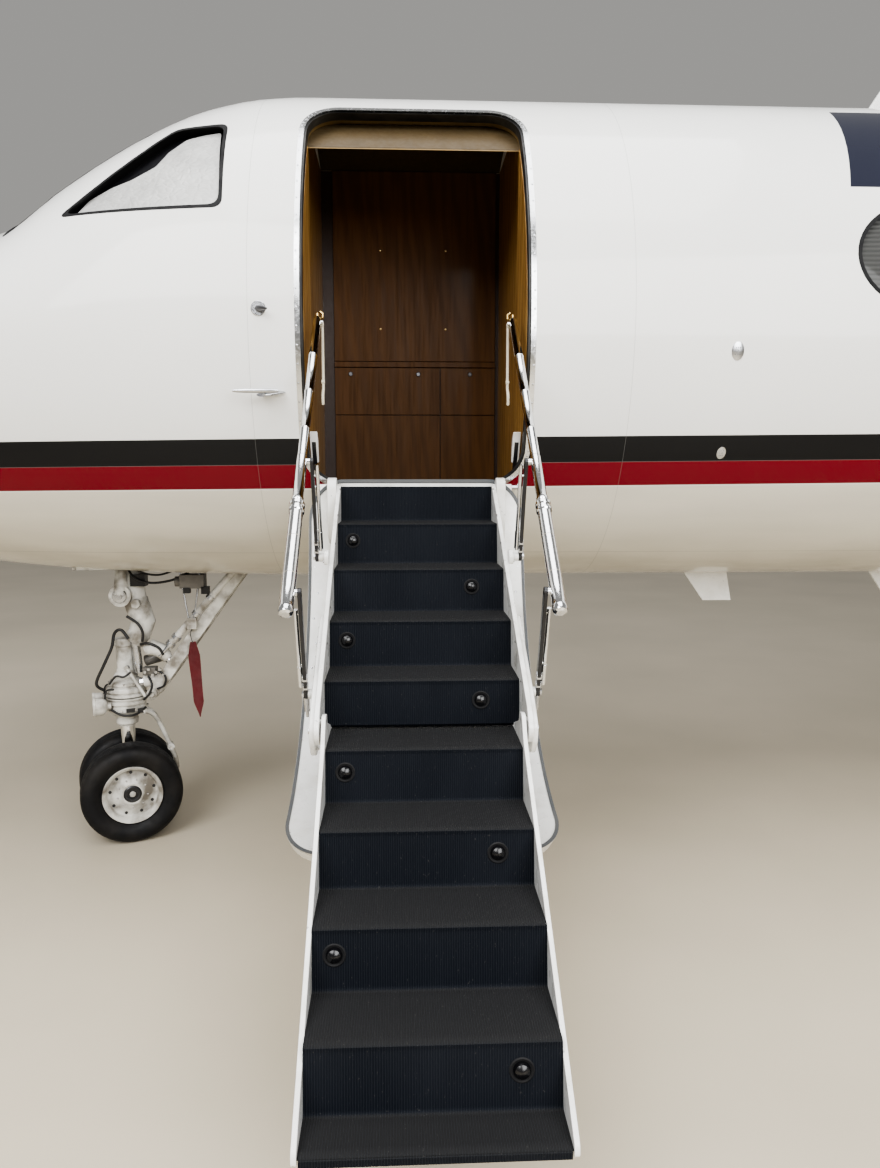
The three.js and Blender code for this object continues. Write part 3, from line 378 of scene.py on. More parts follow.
class Finish:
    """A node material: its Principled shader, and steps that read places on the object in metres."""

    def __init__(self, name, color, roughness, metallic=0.0, **sockets):
        self.material = bpy.data.materials.new(name)
        self.material.use_nodes = True
        self.tree = self.material.node_tree
        self.shader = self.tree.nodes["Principled BSDF"]
        self.shader.inputs["Base Color"].default_value = (*color, 1)
        self.shader.inputs["Roughness"].default_value = roughness
        self.shader.inputs["Metallic"].default_value = metallic
        for socket, value in sockets.items():
            self.shader.inputs[socket.replace("_", " ")].default_value = value
        self.place = self.node("ShaderNodeTexCoord").outputs["Object"]
        split = self.node("ShaderNodeSeparateXYZ")
        self.link(self.place, split.inputs[0])
        self.x, self.y, self.z = split.outputs

    def node(self, kind, **values):
        made = self.tree.nodes.new(kind)
        for key, value in values.items():
            setattr(made, key, value)
        return made

    def link(self, source, target):
        if hasattr(source, "links"):
            self.tree.links.new(source, target)
        else:
            target.default_value = source

    def math(self, operation, first, second=0.0):
        step = self.node("ShaderNodeMath", operation=operation)
        self.link(first, step.inputs[0])
        self.link(second, step.inputs[1])
        return step.outputs[0]

    def stretched(self, scale):
        step = self.node("ShaderNodeMapping")
        self.link(self.place, step.inputs["Vector"])
        step.inputs["Scale"].default_value = scale
        return step.outputs[0]

    def noise(self, scale, detail=4.0, stretch=None):
        step = self.node("ShaderNodeTexNoise")
        self.link(self.stretched(stretch) if stretch else self.place, step.inputs["Vector"])
        step.inputs["Scale"].default_value = scale
        step.inputs["Detail"].default_value = detail
        return step.outputs["Fac"]

    def cells(self, scale, feature="F1", stretch=None):
        step = self.node("ShaderNodeTexVoronoi", feature=feature)
        self.link(self.stretched(stretch) if stretch else self.place, step.inputs["Vector"])
        step.inputs["Scale"].default_value = scale
        return step.outputs["Distance"]

    def fade(self, value, start, end, low=0.0, high=1.0):
        step = self.node("ShaderNodeMapRange")
        self.link(value, step.inputs["Value"])
        for socket, number in (("From Min", start), ("From Max", end), ("To Min", low), ("To Max", high)):
            step.inputs[socket].default_value = number
        return step.outputs["Result"]

    def within(self, value, low, high, edge=0.0008):
        """1 between two values, 0 outside."""
        rise = self.fade(value, low - edge, low + edge)
        return self.math("MULTIPLY", rise, self.fade(value, high + edge, high - edge))

    def mix(self, share, first, second):
        step = self.node("ShaderNodeMix", data_type="RGBA")
        self.link(share, step.inputs["Factor"])
        colour_sockets = [s for s in step.inputs if s.type == "RGBA"]
        for value, socket in zip((first, second), colour_sockets):
            self.link(value if hasattr(value, "links") else (*value, 1), socket)
        return next(s for s in step.outputs if s.type == "RGBA")

    def paint(self, color):
        self.link(color, self.shader.inputs["Base Color"])
        return self

    def rough(self, value):
        self.link(value, self.shader.inputs["Roughness"])
        return self

    def bump(self, height, depth, strength=1.0):
        step = self.node("ShaderNodeBump")
        step.inputs["Strength"].default_value = strength
        step.inputs["Distance"].default_value = depth
        self.link(height, step.inputs["Height"])
        old = self.shader.inputs["Normal"].links
        if old:
            self.link(old[0].from_socket, step.inputs["Normal"])
        self.link(step.outputs[0], self.shader.inputs["Normal"])
        return self


STRIPE_SLOPE = 0.0095
RIB_PITCH = 0.0062
PLEAT_PITCH = 0.02
BLOCK = {"from": -7.272, "length": 1.75, "low": 3.20, "high": 3.665, "top": 3.66, "slant": 0.20}
PANEL_JOINTS = [-12.45, -9.88, -8.30, -5.20, -1.60, 3.40, 5.60, 7.90]


def hull_paint(settings):
    """White gloss over cream, with a black and a red line, a plain dark block and fine panel joints."""
    f = Finish("hull_paint", settings.white, 0.16, 0.0,
               Specular_IOR_Level=0.12, Coat_Weight=0.25, Coat_Roughness=0.03)
    rise = f.math("MULTIPLY", f.math("ADD", f.x, -DOOR_X), STRIPE_SLOPE)
    level = f.math("SUBTRACT", f.z, rise)
    cloud = f.noise(1.3, 5.0)
    streak = f.noise(3.0, 6.0, (0.35, 1.0, 3.0))
    white = f.mix(f.fade(cloud, 0.35, 0.7), settings.white, tuple(c * 0.965 for c in settings.white))
    lower = f.mix(f.fade(streak, 0.35, 0.75), settings.cream, tuple(c * 0.9 for c in settings.cream))
    colour = f.mix(f.fade(level, 1.94, 1.93), white, lower)
    # Darker and browner towards the bottom of the fuselage, in patches.
    spread = f.fade(f.noise(5.0, 8.0, (0.5, 1.0, 1.0)), 0.42, 0.7, 0.0, 0.55)
    darker_patches = f.math("MULTIPLY", f.fade(f.z, 1.75, 1.46), spread)
    colour = f.mix(darker_patches, colour, (0.36, 0.33, 0.27))
    colour = f.mix(f.within(level, settings.red_low, settings.red_high), colour, settings.red)
    colour = f.mix(f.within(level, settings.red_high, settings.black_high), colour, settings.black)
    slant = f.math("MULTIPLY", f.math("SUBTRACT", BLOCK["top"], f.z), -BLOCK["slant"])
    along = f.math("SUBTRACT", f.x, f.math("ADD", BLOCK["from"], slant))
    tall = f.within(f.z, BLOCK["low"], BLOCK["high"])
    colour = f.mix(f.math("MULTIPLY", tall, f.within(along, 0.0, BLOCK["length"])), colour, settings.block)
    lines = 0.0
    for x in PANEL_JOINTS:
        lines = f.math("MAXIMUM", lines, f.within(f.x, x - 0.0009, x + 0.0009, 0.0006))
    for height in (1.62, 3.70):
        level_line = f.within(f.z, height - 0.0008, height + 0.0008, 0.0005)
        lines = f.math("MAXIMUM", lines, f.math("MULTIPLY", level_line, f.within(f.x, PANEL_JOINTS[0], 9.5)))
    f.paint(f.mix(f.math("MULTIPLY", lines, 0.45), colour, (0.2, 0.2, 0.19)))
    f.rough(f.fade(f.noise(7.0, 3.0), 0.3, 0.7, 0.13, 0.2))
    f.bump(f.noise(1.6, 2.0), 0.004, 0.35)
    f.bump(f.math("SUBTRACT", 1.0, lines), 0.0008, 0.5)
    return f.material


def white_paint(settings, name, wear):
    """Gloss white over metal, with grime in patches and worn spots."""
    f = Finish(name, settings.white, 0.25, 0.0, Coat_Weight=0.4, Coat_Roughness=0.08)
    darker_patches = f.fade(f.noise(9.0, 8.0), 0.48, 0.75, 0.0, wear)
    colour = f.mix(darker_patches, settings.white, (0.42, 0.39, 0.33))
    chips = f.fade(f.noise(60.0, 3.0), 0.70, 0.73, 0.0, wear)
    f.paint(f.mix(chips, colour, (0.2, 0.2, 0.2)))
    f.rough(f.fade(f.noise(14.0, 4.0), 0.3, 0.7, 0.2, 0.42))
    f.bump(f.noise(30.0, 3.0), 0.0006, 0.4)
    return f.material


def gear_paint():
    """Grey-white gear paint under oily brown grime."""
    f = Finish("gear_paint", (0.70, 0.69, 0.65), 0.38)
    oil = f.fade(f.noise(11.0, 9.0), 0.42, 0.64)
    colour = f.mix(f.math("MULTIPLY", oil, 0.85), (0.62, 0.61, 0.57), (0.11, 0.09, 0.065))
    spots = f.fade(f.cells(120.0), 0.10, 0.04, 0.0, 0.7)
    f.paint(f.mix(spots, colour, (0.10, 0.09, 0.08)))
    f.rough(f.fade(oil, 0.0, 1.0, 0.34, 0.55))
    f.bump(f.noise(45.0, 4.0), 0.001, 0.5)
    return f.material


def metal(name, color, roughness, grain=0.05):
    """Bare metal with fine rub marks."""
    f = Finish(name, color, roughness, 1.0)
    f.rough(f.fade(f.noise(90.0), 0.3, 0.7, max(roughness - grain, 0.02), roughness + grain))
    f.paint(f.mix(f.fade(f.noise(18.0, 5.0), 0.4, 0.7), color, tuple(c * 0.86 for c in color)))
    f.bump(f.noise(160.0, 2.0), 0.0003, 0.3)
    return f.material


def rubber(name, color, roughness, dust=0.25):
    """Black rubber with dust and a fine pebble."""
    f = Finish(name, color, roughness, 0.0, Specular_IOR_Level=0.35)
    dusty = f.fade(f.noise(6.0, 7.0), 0.42, 0.75, 0.0, dust)
    f.paint(f.mix(dusty, color, (0.20, 0.19, 0.17)))
    f.rough(f.fade(f.noise(20.0, 4.0), 0.3, 0.7, roughness - 0.1, roughness + 0.12))
    f.bump(f.cells(140.0), 0.0006, 0.35)
    return f.material


def step_cover():
    """Ribbed rubber on the treads: ribs run up and down the stair, with worn patches, grit, and every face
    that points up painted paler as painted light from above.
    """
    f = Finish("step_cover", (0.008, 0.010, 0.013), 0.62, 0.0, Specular_IOR_Level=0.12)
    ribs = f.math("SINE", f.math("MULTIPLY", f.x, 2 * math.pi / RIB_PITCH))
    grit = f.noise(160.0, 6.0)
    worn = f.fade(f.noise(3.5, 6.0, (1.0, 1.0, 0.4)), 0.45, 0.72, 0.0, 0.45)
    colour = f.mix(worn, (0.004, 0.0055, 0.009), (0.013, 0.015, 0.020))
    # Faces that point up are painted paler: painted top light.
    parts = f.node("ShaderNodeSeparateXYZ")
    f.link(f.node("ShaderNodeTexCoord").outputs["Normal"], parts.inputs["Vector"])
    colour = f.mix(f.fade(parts.outputs["Z"], 0.6, 0.95), colour, (0.018, 0.018, 0.0185))
    colour = f.mix(f.fade(ribs, 0.2, 1.0, 0.0, 0.30), colour, (0.026, 0.029, 0.034))
    f.paint(f.mix(f.fade(grit, 0.66, 0.74, 0.0, 0.5), colour, (0.075, 0.072, 0.066)))
    f.rough(f.fade(grit, 0.3, 0.7, 0.5, 0.75))
    f.bump(ribs, 0.0012, 0.7)
    f.bump(grit, 0.0006, 0.4)
    return f.material


def veneer(name, light, dark, gloss, coat):
    """Varnished wood with upright grain."""
    f = Finish(name, light, gloss, 0.0, Specular_IOR_Level=0.25, Coat_Weight=coat, Coat_Roughness=0.12)
    figure = f.node("ShaderNodeTexWave", wave_type="BANDS", bands_direction="DIAGONAL")
    f.link(f.stretched((3.0, 3.0, 0.35)), figure.inputs["Vector"])
    for socket, value in (("Scale", 2.6), ("Distortion", 7.0), ("Detail", 4.0), ("Detail Scale", 1.4)):
        figure.inputs[socket].default_value = value
    pores = f.noise(70.0, 5.0, (1.0, 1.0, 0.05))
    colour = f.mix(f.fade(figure.outputs["Fac"], 0.15, 0.85), light, dark)
    f.paint(f.mix(f.fade(pores, 0.5, 0.75, 0.0, 0.55), colour, tuple(c * 0.55 for c in dark)))
    f.rough(f.fade(pores, 0.3, 0.7, gloss - 0.05, gloss + 0.12))
    f.bump(pores, 0.0003, 0.25)
    return f.material


def foil_shade():
    """Crinkled silver sunshade."""
    f = Finish("foil_shade", (0.50, 0.50, 0.485), 0.5, 0.35)
    crease = f.cells(26.0, "DISTANCE_TO_EDGE", (1.0, 1.0, 1.6))
    fine = f.cells(70.0)
    tone = f.fade(f.noise(9.0, 6.0), 0.3, 0.75)
    f.paint(f.mix(tone, (0.56, 0.56, 0.545), (0.43, 0.43, 0.42)))
    f.rough(f.fade(f.noise(30.0, 4.0), 0.3, 0.7, 0.4, 0.6))
    f.bump(f.fade(crease, 0.0, 0.25), 0.0015, 0.6)
    f.bump(fine, 0.0008, 0.4)
    return f.material


def pleated_shade():
    """Grey pleated blind: level folds, each painted darker into its crease and paler on its ridge as painted
    shade and light.
    """
    f = Finish("pleated_shade", (0.055, 0.057, 0.054), 0.6, 0.0, Coat_Weight=0.3, Coat_Roughness=0.03)
    folds = f.math("PINGPONG", f.math("MULTIPLY", f.z, 1 / PLEAT_PITCH), 0.5)
    # Painted shade in each crease and painted light on each ridge.
    f.paint(f.mix(f.fade(folds, 0.0, 0.5), (0.018, 0.019, 0.0175), (0.045, 0.046, 0.044)))
    f.bump(folds, 0.006, 0.8)
    return f.material


def tyre_rubber():
    """Near black rubber with brown dust in patches."""
    f = Finish("tyre_rubber", (0.008, 0.008, 0.009), 0.6, 0.0, Specular_IOR_Level=0.22)
    dust = f.fade(f.noise(8.0, 7.0), 0.4, 0.75, 0.0, 0.22)
    f.paint(f.mix(dust, (0.007, 0.007, 0.008), (0.07, 0.062, 0.052)))
    f.rough(f.fade(f.noise(30.0, 4.0), 0.3, 0.7, 0.45, 0.7))
    f.bump(f.noise(220.0, 3.0), 0.0004, 0.4)
    return f.material


def plain_finish(name, color, roughness, metallic=0.0, speck=0.1, **sockets):
    """A quiet finish with slight tone and roughness changes."""
    f = Finish(name, color, roughness, metallic, **sockets)
    darker = tuple(c * (1 - speck * 2) for c in color)
    f.paint(f.mix(f.fade(f.noise(16.0, 5.0), 0.35, 0.75), color, darker))
    f.rough(f.fade(f.noise(40.0, 3.0), 0.3, 0.7, roughness * 0.85, min(roughness * 1.2, 1.0)))
    f.bump(f.noise(80.0, 3.0), 0.0003, 0.3)
    return f.material


def studio_floor():
    """Warm matt ground with a slow change of tone."""
    f = Finish("studio_floor", (0.55, 0.49, 0.385), 0.42)
    f.paint(f.mix(f.fade(f.noise(0.6, 4.0), 0.35, 0.7), (0.58, 0.515, 0.405), (0.51, 0.455, 0.355)))
    return f.material


# Colour, roughness, metallic share and depth of specks of the quiet finishes
PLAIN = {
    "dark_gear": ((0.16, 0.15, 0.135), 0.45, 0.2, 0.2),
    "black_glass": ((0.004, 0.004, 0.005), 0.22),
    "black_paint": ((0.015, 0.015, 0.017), 0.32),
    "dark_wood": ((0.030, 0.012, 0.005), 0.45),
    "trim": ((0.30, 0.195, 0.075), 0.55),
    "ceiling": ((0.075, 0.050, 0.020), 0.6),
    "lamp": ((0.75, 0.76, 0.74), 0.06, 0.6, 0.05),
    "red_cloth": ((0.11, 0.008, 0.012), 0.8, 0.0, 0.15),
    "cream_metal": ((0.62, 0.57, 0.46), 0.4),
}
PLAIN_EXTRAS = {"lamp": {"Coat_Weight": 1.0}, "red_cloth": {"Sheen_Weight": 0.3}}

# Colour, roughness and roughness change of the bare metals
METALS = {
    "steel": ((0.55, 0.56, 0.58), 0.24),
    "chrome": ((0.78, 0.79, 0.80), 0.10, 0.04),
    "frame_metal": ((0.70, 0.71, 0.72), 0.22, 0.08),
    "dark_metal": ((0.16, 0.16, 0.17), 0.38),
    "engine": ((0.30, 0.30, 0.31), 0.42),
    "brass": ((0.62, 0.46, 0.22), 0.3),
}

# Colour, roughness and dust of the rubbers
RUBBERS = {
    "seal": ((0.012, 0.012, 0.013), 0.45),
    "rim_rubber": ((0.004, 0.004, 0.005), 0.7, 0.02),
    "grey_seal": ((0.085, 0.09, 0.095), 0.55),
    "hose": ((0.015, 0.015, 0.016), 0.35, 0.1),
}

MAKERS = {
    "hull": lambda s: hull_paint(s),
    "white": lambda s: white_paint(s, "white_paint", 0.25),
    "stair_white": lambda s: white_paint(s, "stair_white", 0.55),
    "gear": lambda s: gear_paint(),
    "cover": lambda s: step_cover(),
    "far_wood": lambda s: veneer("far_wood", s.wood_dark, (0.085, 0.034, 0.006), 0.5, 0.06),
    "jamb_wood": lambda s: veneer("jamb_wood", s.wood_light, (0.27, 0.14, 0.040), 0.35, 0.35),
    "foil": lambda s: foil_shade(),
    "pleats": lambda s: pleated_shade(),
    "tyre": lambda s: tyre_rubber(),
    "floor": lambda s: studio_floor(),
}
FINISHES = {}


def finish(name):
    """A finish by name, made on first use."""
    if name not in FINISHES:
        if name in PLAIN:
            made = plain_finish(name, *PLAIN[name], **PLAIN_EXTRAS.get(name, {}))
        elif name in METALS:
            made = metal(name, *METALS[name])
        elif name in RUBBERS:
            made = rubber(name, *RUBBERS[name])
        else:
            made = MAKERS[name](bpy.context.scene.jet_colours)
        FINISHES[name] = made
    return FINISHES[name]


def repeated(name, spots, facings, size, look):
    """A small dome at each spot, facing its own way, made with Geometry Nodes and then a plain mesh."""
    mesh = bpy.data.meshes.new(name)
    mesh.from_pydata([tuple(s) for s in spots], [], [])
    layer = mesh.attributes.new("facing", "FLOAT_VECTOR", "POINT")
    layer.data.foreach_set("vector", [c for v in facings for c in v])
    host = bpy.data.objects.new(name, mesh)
    bpy.context.scene.collection.objects.link(host)
    tree = bpy.data.node_groups.new(name, "GeometryNodeTree")
    tree.interface.new_socket("Geometry", in_out="INPUT", socket_type="NodeSocketGeometry")
    size_socket = tree.interface.new_socket("Size", in_out="INPUT", socket_type="NodeSocketVector")
    tree.interface.new_socket("Geometry", in_out="OUTPUT", socket_type="NodeSocketGeometry")
    nodes, links = tree.nodes, tree.links
    start = nodes.new("NodeGroupInput")
    end = nodes.new("NodeGroupOutput")
    seed = nodes.new("GeometryNodeMeshUVSphere")
    for socket, value in (("Segments", 10), ("Rings", 6), ("Radius", 0.5)):
        seed.inputs[socket].default_value = value
    shaped = nodes.new("GeometryNodeTransform")
    links.new(seed.outputs["Mesh"], shaped.inputs["Geometry"])
    links.new(start.outputs["Size"], shaped.inputs["Scale"])
    read = nodes.new("GeometryNodeInputNamedAttribute")
    read.data_type = "FLOAT_VECTOR"
    read.inputs["Name"].default_value = "facing"
    facing = nodes.new("FunctionNodeAlignRotationToVector")
    facing.axis = "Z"
    links.new(read.outputs["Attribute"], facing.inputs["Vector"])
    spin = nodes.new("FunctionNodeAlignRotationToVector")
    spin.axis = "X"
    spin.pivot_axis = "Z"
    spin.inputs["Vector"].default_value = (1, 0, 0)
    links.new(facing.outputs["Rotation"], spin.inputs["Rotation"])
    place = nodes.new("GeometryNodeInstanceOnPoints")
    links.new(start.outputs["Geometry"], place.inputs["Points"])
    links.new(shaped.outputs["Geometry"], place.inputs["Instance"])
    links.new(spin.outputs["Rotation"], place.inputs["Rotation"])
    real = nodes.new("GeometryNodeRealizeInstances")
    links.new(place.outputs["Instances"], real.inputs["Geometry"])
    paint = nodes.new("GeometryNodeSetMaterial")
    paint.inputs["Material"].default_value = finish(look)
    links.new(real.outputs["Geometry"], paint.inputs["Geometry"])
    links.new(paint.outputs["Geometry"], end.inputs["Geometry"])
    step = host.modifiers.new("repeat", "NODES")
    step.node_group = tree
    step[size_socket.identifier] = size
    baked(host)
    bpy.data.node_groups.remove(tree)
    return host


def clad(piece, name, look):
    """Names a carved piece and gives it one finish."""
    piece.name = name
    piece.data.materials.clear()
    piece.data.materials.append(finish(look))
    return piece


# Fuselage and its openings


def door_outline(by, corner=None):
    """The doorway's outline moved in by a distance, its corners smaller by as much or as given."""
    half = DOOR["half"] - by
    corner = DOOR["corner"] - by if corner is None else corner
    return rounded(DOOR_X - half, DOOR_X + half, DOOR["low"] + by, DOOR["high"] - by, corner)


def doorway(by=0.0, start=-1.5, end=-0.3):
    """The doorway's prism, its outline moved in by a distance."""
    return Form().prism("y", door_outline(by), start, end)


def flank_window(by, start, end):
    """The side cockpit window's prism, grown by a distance."""
    outline = softened(grown(SIDE_WINDOW, by), 0.045)
    return Form().prism("y", [(z, x) for x, z in outline], start, end)


def front_window(by, side):
    """One windshield pane's prism, grown by a distance."""
    outline = softened(grown([(x, side * y) for x, y in WINDSHIELD], by), 0.03)
    return Form().prism("z", outline, AXIS + 0.35, AXIS + 1.4)


def cabin_window(x, by, start, end):
    """One oval window's prism, grown by a distance."""
    wide, tall, z = CABIN_WINDOW["half_length"] + by, CABIN_WINDOW["half_height"] + by, CABIN_WINDOW["z"]
    outline = [(z + tall * math.sin(t), x + wide * math.cos(t)) for t in around(48)]
    return Form().prism("y", outline, start, end)


# Each side's name, sign and reach across the skin
SIDES = (("port", -1, -1.5, -0.3), ("starboard", 1, 0.3, 1.5))
COCKPIT = (-11.2, -9.85)
CABIN = (-7.5, -0.4)
FOIL_SHAPE = [(-10.635, 3.072), (-10.002, 3.080), (-10.037, 3.470), (-10.110, 3.462), (-10.190, 3.443),
              (-10.260, 3.370), (-10.300, 3.297), (-10.400, 3.236), (-10.485, 3.205), (-10.580, 3.150)]
BAY = {"from": -10.96, "to": -9.98, "half": 0.21, "roof": 1.90, "foot": 1.50, "wall": 0.02}


def build_hull():
    """The hollow painted skin with the doorway, windows and gear bay cut into it."""
    skin = hull(STATIONS[0][0], STATIONS[-1][0]).object("fuselage_skin")
    carved(skin, "DIFFERENCE", hull(-12.30, 9.0, WALL).object("hollow"))
    bay = Form().box((BAY["from"], -BAY["half"], 1.0), (BAY["to"], BAY["half"], BAY["roof"]))
    tools = [doorway().object("doorway"), bay.object("bay")]
    for _, side, start, end in SIDES:
        tools.append(flank_window(0, start, end).object("flank"))
        tools.append(front_window(0, side).object("front"))
        ovals = Form()
        for x in CABIN_WINDOWS:
            ovals.add(cabin_window(x, 0, start, end))
        tools.append(ovals.object("ovals"))
    carved(skin, "DIFFERENCE", *tools)
    settle(clad(skin, "fuselage_skin", "hull"), "airframe", 30,
           ["nose_radome", "cockpit_section", "entry_section", "cabin_section", "tail_section"])


def build_nose_bay():
    """Inside walls and roof of the nose gear's bay, with stiffeners."""
    x0, x1, half, roof = BAY["from"], BAY["to"], BAY["half"], BAY["roof"]
    foot, wall = BAY["foot"], BAY["wall"]
    bay = Form().box((x0 - wall, -half - wall, roof), (x1 + wall, half + wall, roof + wall))
    bay.box((x0 - wall, -half - wall, foot), (x0, half + wall, roof))
    bay.box((x1, -half - wall, foot), (x1 + wall, half + wall, roof))
    for side in (-1, 1):
        bay.box((x0, side * half, foot), (x1, side * (half + wall), roof))
        for k in range(6):
            x = x0 + 0.12 + 0.15 * k
            bay.box((x, side * (half - 0.018), foot + 0.04), (x + 0.012, side * half, roof))
    settle(bay.object("nose_bay_walls", "gear"), "airframe", bevel=0.002)


def build_glazing():
    """Seals, foil behind the cockpit windows, and pleated blinds in the cabin windows."""
    for name, side, start, end in SIDES:
        def with_front(form, by):
            """A side window's tool joined with the windshield's, grown by a distance."""
            return carved(form.object("flank"), "UNION", front_window(by, side).object("front"))

        openings = with_front(flank_window(-0.001, start, end), -0.001)
        carved(openings, "DIFFERENCE", with_front(flank_window(-0.016, start, end), -0.016))
        seals = carved(hull_band(*COCKPIT, -0.0015, 0.05), "INTERSECT", openings)
        settle(clad(seals, "cockpit_window_seal_" + name, "rim_rubber"), "airframe")
        openings = with_front(flank_window(0, start, end), 0)
        # A black sheet behind the foil as painted shade of the dark cockpit seen round it.
        dark = carved(hull_band(*COCKPIT, 0.050, 0.056), "INTERSECT", openings)
        settle(clad(dark, "cockpit_painted_shade_" + name, "black_paint"), "airframe")
        cover = Form().prism("y", [(z, x) for x, z in softened(FOIL_SHAPE, 0.012)], start, end)
        foil = carved(hull_band(*COCKPIT, 0.030, 0.036), "INTERSECT", with_front(cover, -0.02))
        settle(clad(foil, "cockpit_foil_" + name, "foil"), "airframe",
               replaces=["cockpit_glazing_" + name])

        plugs, holes, wide = Form(), Form(), Form()
        for x in CABIN_WINDOWS:
            plugs.add(cabin_window(x, -0.002, start, end))
            wide.add(cabin_window(x, -0.001, start, end))
            holes.add(cabin_window(x, -0.017, start - 0.1, end + 0.1))
        blinds = carved(hull_band(*CABIN, 0.020, 0.026), "INTERSECT", plugs.object("plugs"))
        rings = carved(wide.object("wide"), "DIFFERENCE", holes.object("holes"))
        rims = carved(hull_band(*CABIN, -0.001, 0.05), "INTERSECT", rings)
        settle(clad(rims, "cabin_window_rims_" + name, "rim_rubber"), "airframe")
        settle(clad(blinds, "cabin_blinds_" + name, "pleats"), "airframe",
               replaces=["cabin_windows_" + name])


# Entry: door frame, seal, jambs and the room behind them

ENTRY = (-9.9, -8.5)
INSIDE = (-9.88, -8.3)


def doorway_ring(outer, inner, start, end):
    """A frame-shaped body that follows the doorway, between two insets."""
    return carved(doorway(outer, start, end).object("ring"), "DIFFERENCE",
                  doorway(inner, start - 0.1, end + 0.1).object("hole"))


def build_door_frame():
    """Polished strip round the doorway, its rivets, the black seal and the tan arch inside."""
    strip = carved(hull_band(*ENTRY, -0.0025, 0.080), "INTERSECT", doorway_ring(-0.016, 0.005, -1.5, -0.55))
    settle(clad(strip, "door_frame_strip", "frame_metal"), "airframe",
           replaces=["door_surround"])
    seal = carved(hull_band(*ENTRY, 0.010, 0.060), "INTERSECT", doorway_ring(0.0045, 0.014, -1.5, -0.55))
    settle(clad(seal, "door_seal", "seal"), "airframe")
    inner = carved(hull_band(*ENTRY, 0.062, 0.100), "INTERSECT", doorway_ring(-0.030, 0.008, -1.5, -0.45))
    settle(clad(inner, "door_inner_trim", "trim"), "airframe")

    spots, facings = [], []
    outline = door_outline(-0.009)
    for a, b in zip(outline, outline[1:] + outline[:1]):
        count = max(1, round((Vector(b) - Vector(a)).length / 0.075))
        for k in range(count):
            z, x = Vector(a).lerp(Vector(b), (k + 0.5) / count)
            if abs(z - DOOR["high"]) > 0.02:
                spots.append((x, -side_y(x, z) - 0.0022, z))
                facings.append((0, -side_y(x, z), z - AXIS))
    screws = repeated("door_frame_screws", spots, facings, (0.009, 0.009, 0.003), "steel")
    settle(screws, "airframe")


# Hinge housings in the doorway's lower corners: near and far from the middle, and their side outline (Y, Z)
HOUSING = {"near": 0.424, "far": 0.458, "inset": 0.077}
HOUSING_SIDE = [(-1.095, 1.985), (-1.085, 2.130), (-1.055, 2.175), (-1.010, 2.182), (-0.950, 2.150),
                (-0.935, 1.985)]
LUG_SIDE = [(-1.030, 1.985), (-1.030, 1.935), (-1.005, 1.916), (-0.975, 1.930), (-0.950, 1.985)]


def build_housings():
    """White hinge housings with a dark inset, and the lugs that hold the door's pins."""
    near, far, inset = HOUSING["near"], HOUSING["far"], HOUSING["inset"]
    white = plates(softened(HOUSING_SIDE, 0.03), near, far)
    white.add(plates(softened(LUG_SIDE, 0.02), near, far - 0.012))
    shells = carved(white.object("hinge_housings"), "INTERSECT", hull(*INSIDE, inset).object("inside"))
    settle(clad(shells, "hinge_housings", "stair_white"), "airframe", bevel=0.003)
    dark = Form()
    for side in (-1, 1):
        middle = DOOR_X + side * (near + far) / 2
        dark.box((middle - 0.009, -1.2, 2.005), (middle + 0.009, -0.9, 2.135))
    front = hull_band(*INSIDE, inset - 0.0006, inset + 0.004)
    insets = carved(front, "INTERSECT", dark.object("insets"))
    settle(clad(insets, "hinge_housing_insets", "black_paint"), "airframe")
    pins = cross_rods([DOOR_PIVOT], 0.386, 0.4505, 0.0095, 20)
    pins.add(cross_rods([DOOR_PIVOT], 0.4445, 0.4505, 0.016, 6))
    settle(pins.object("door_hinge_pins", "steel"), "airframe")


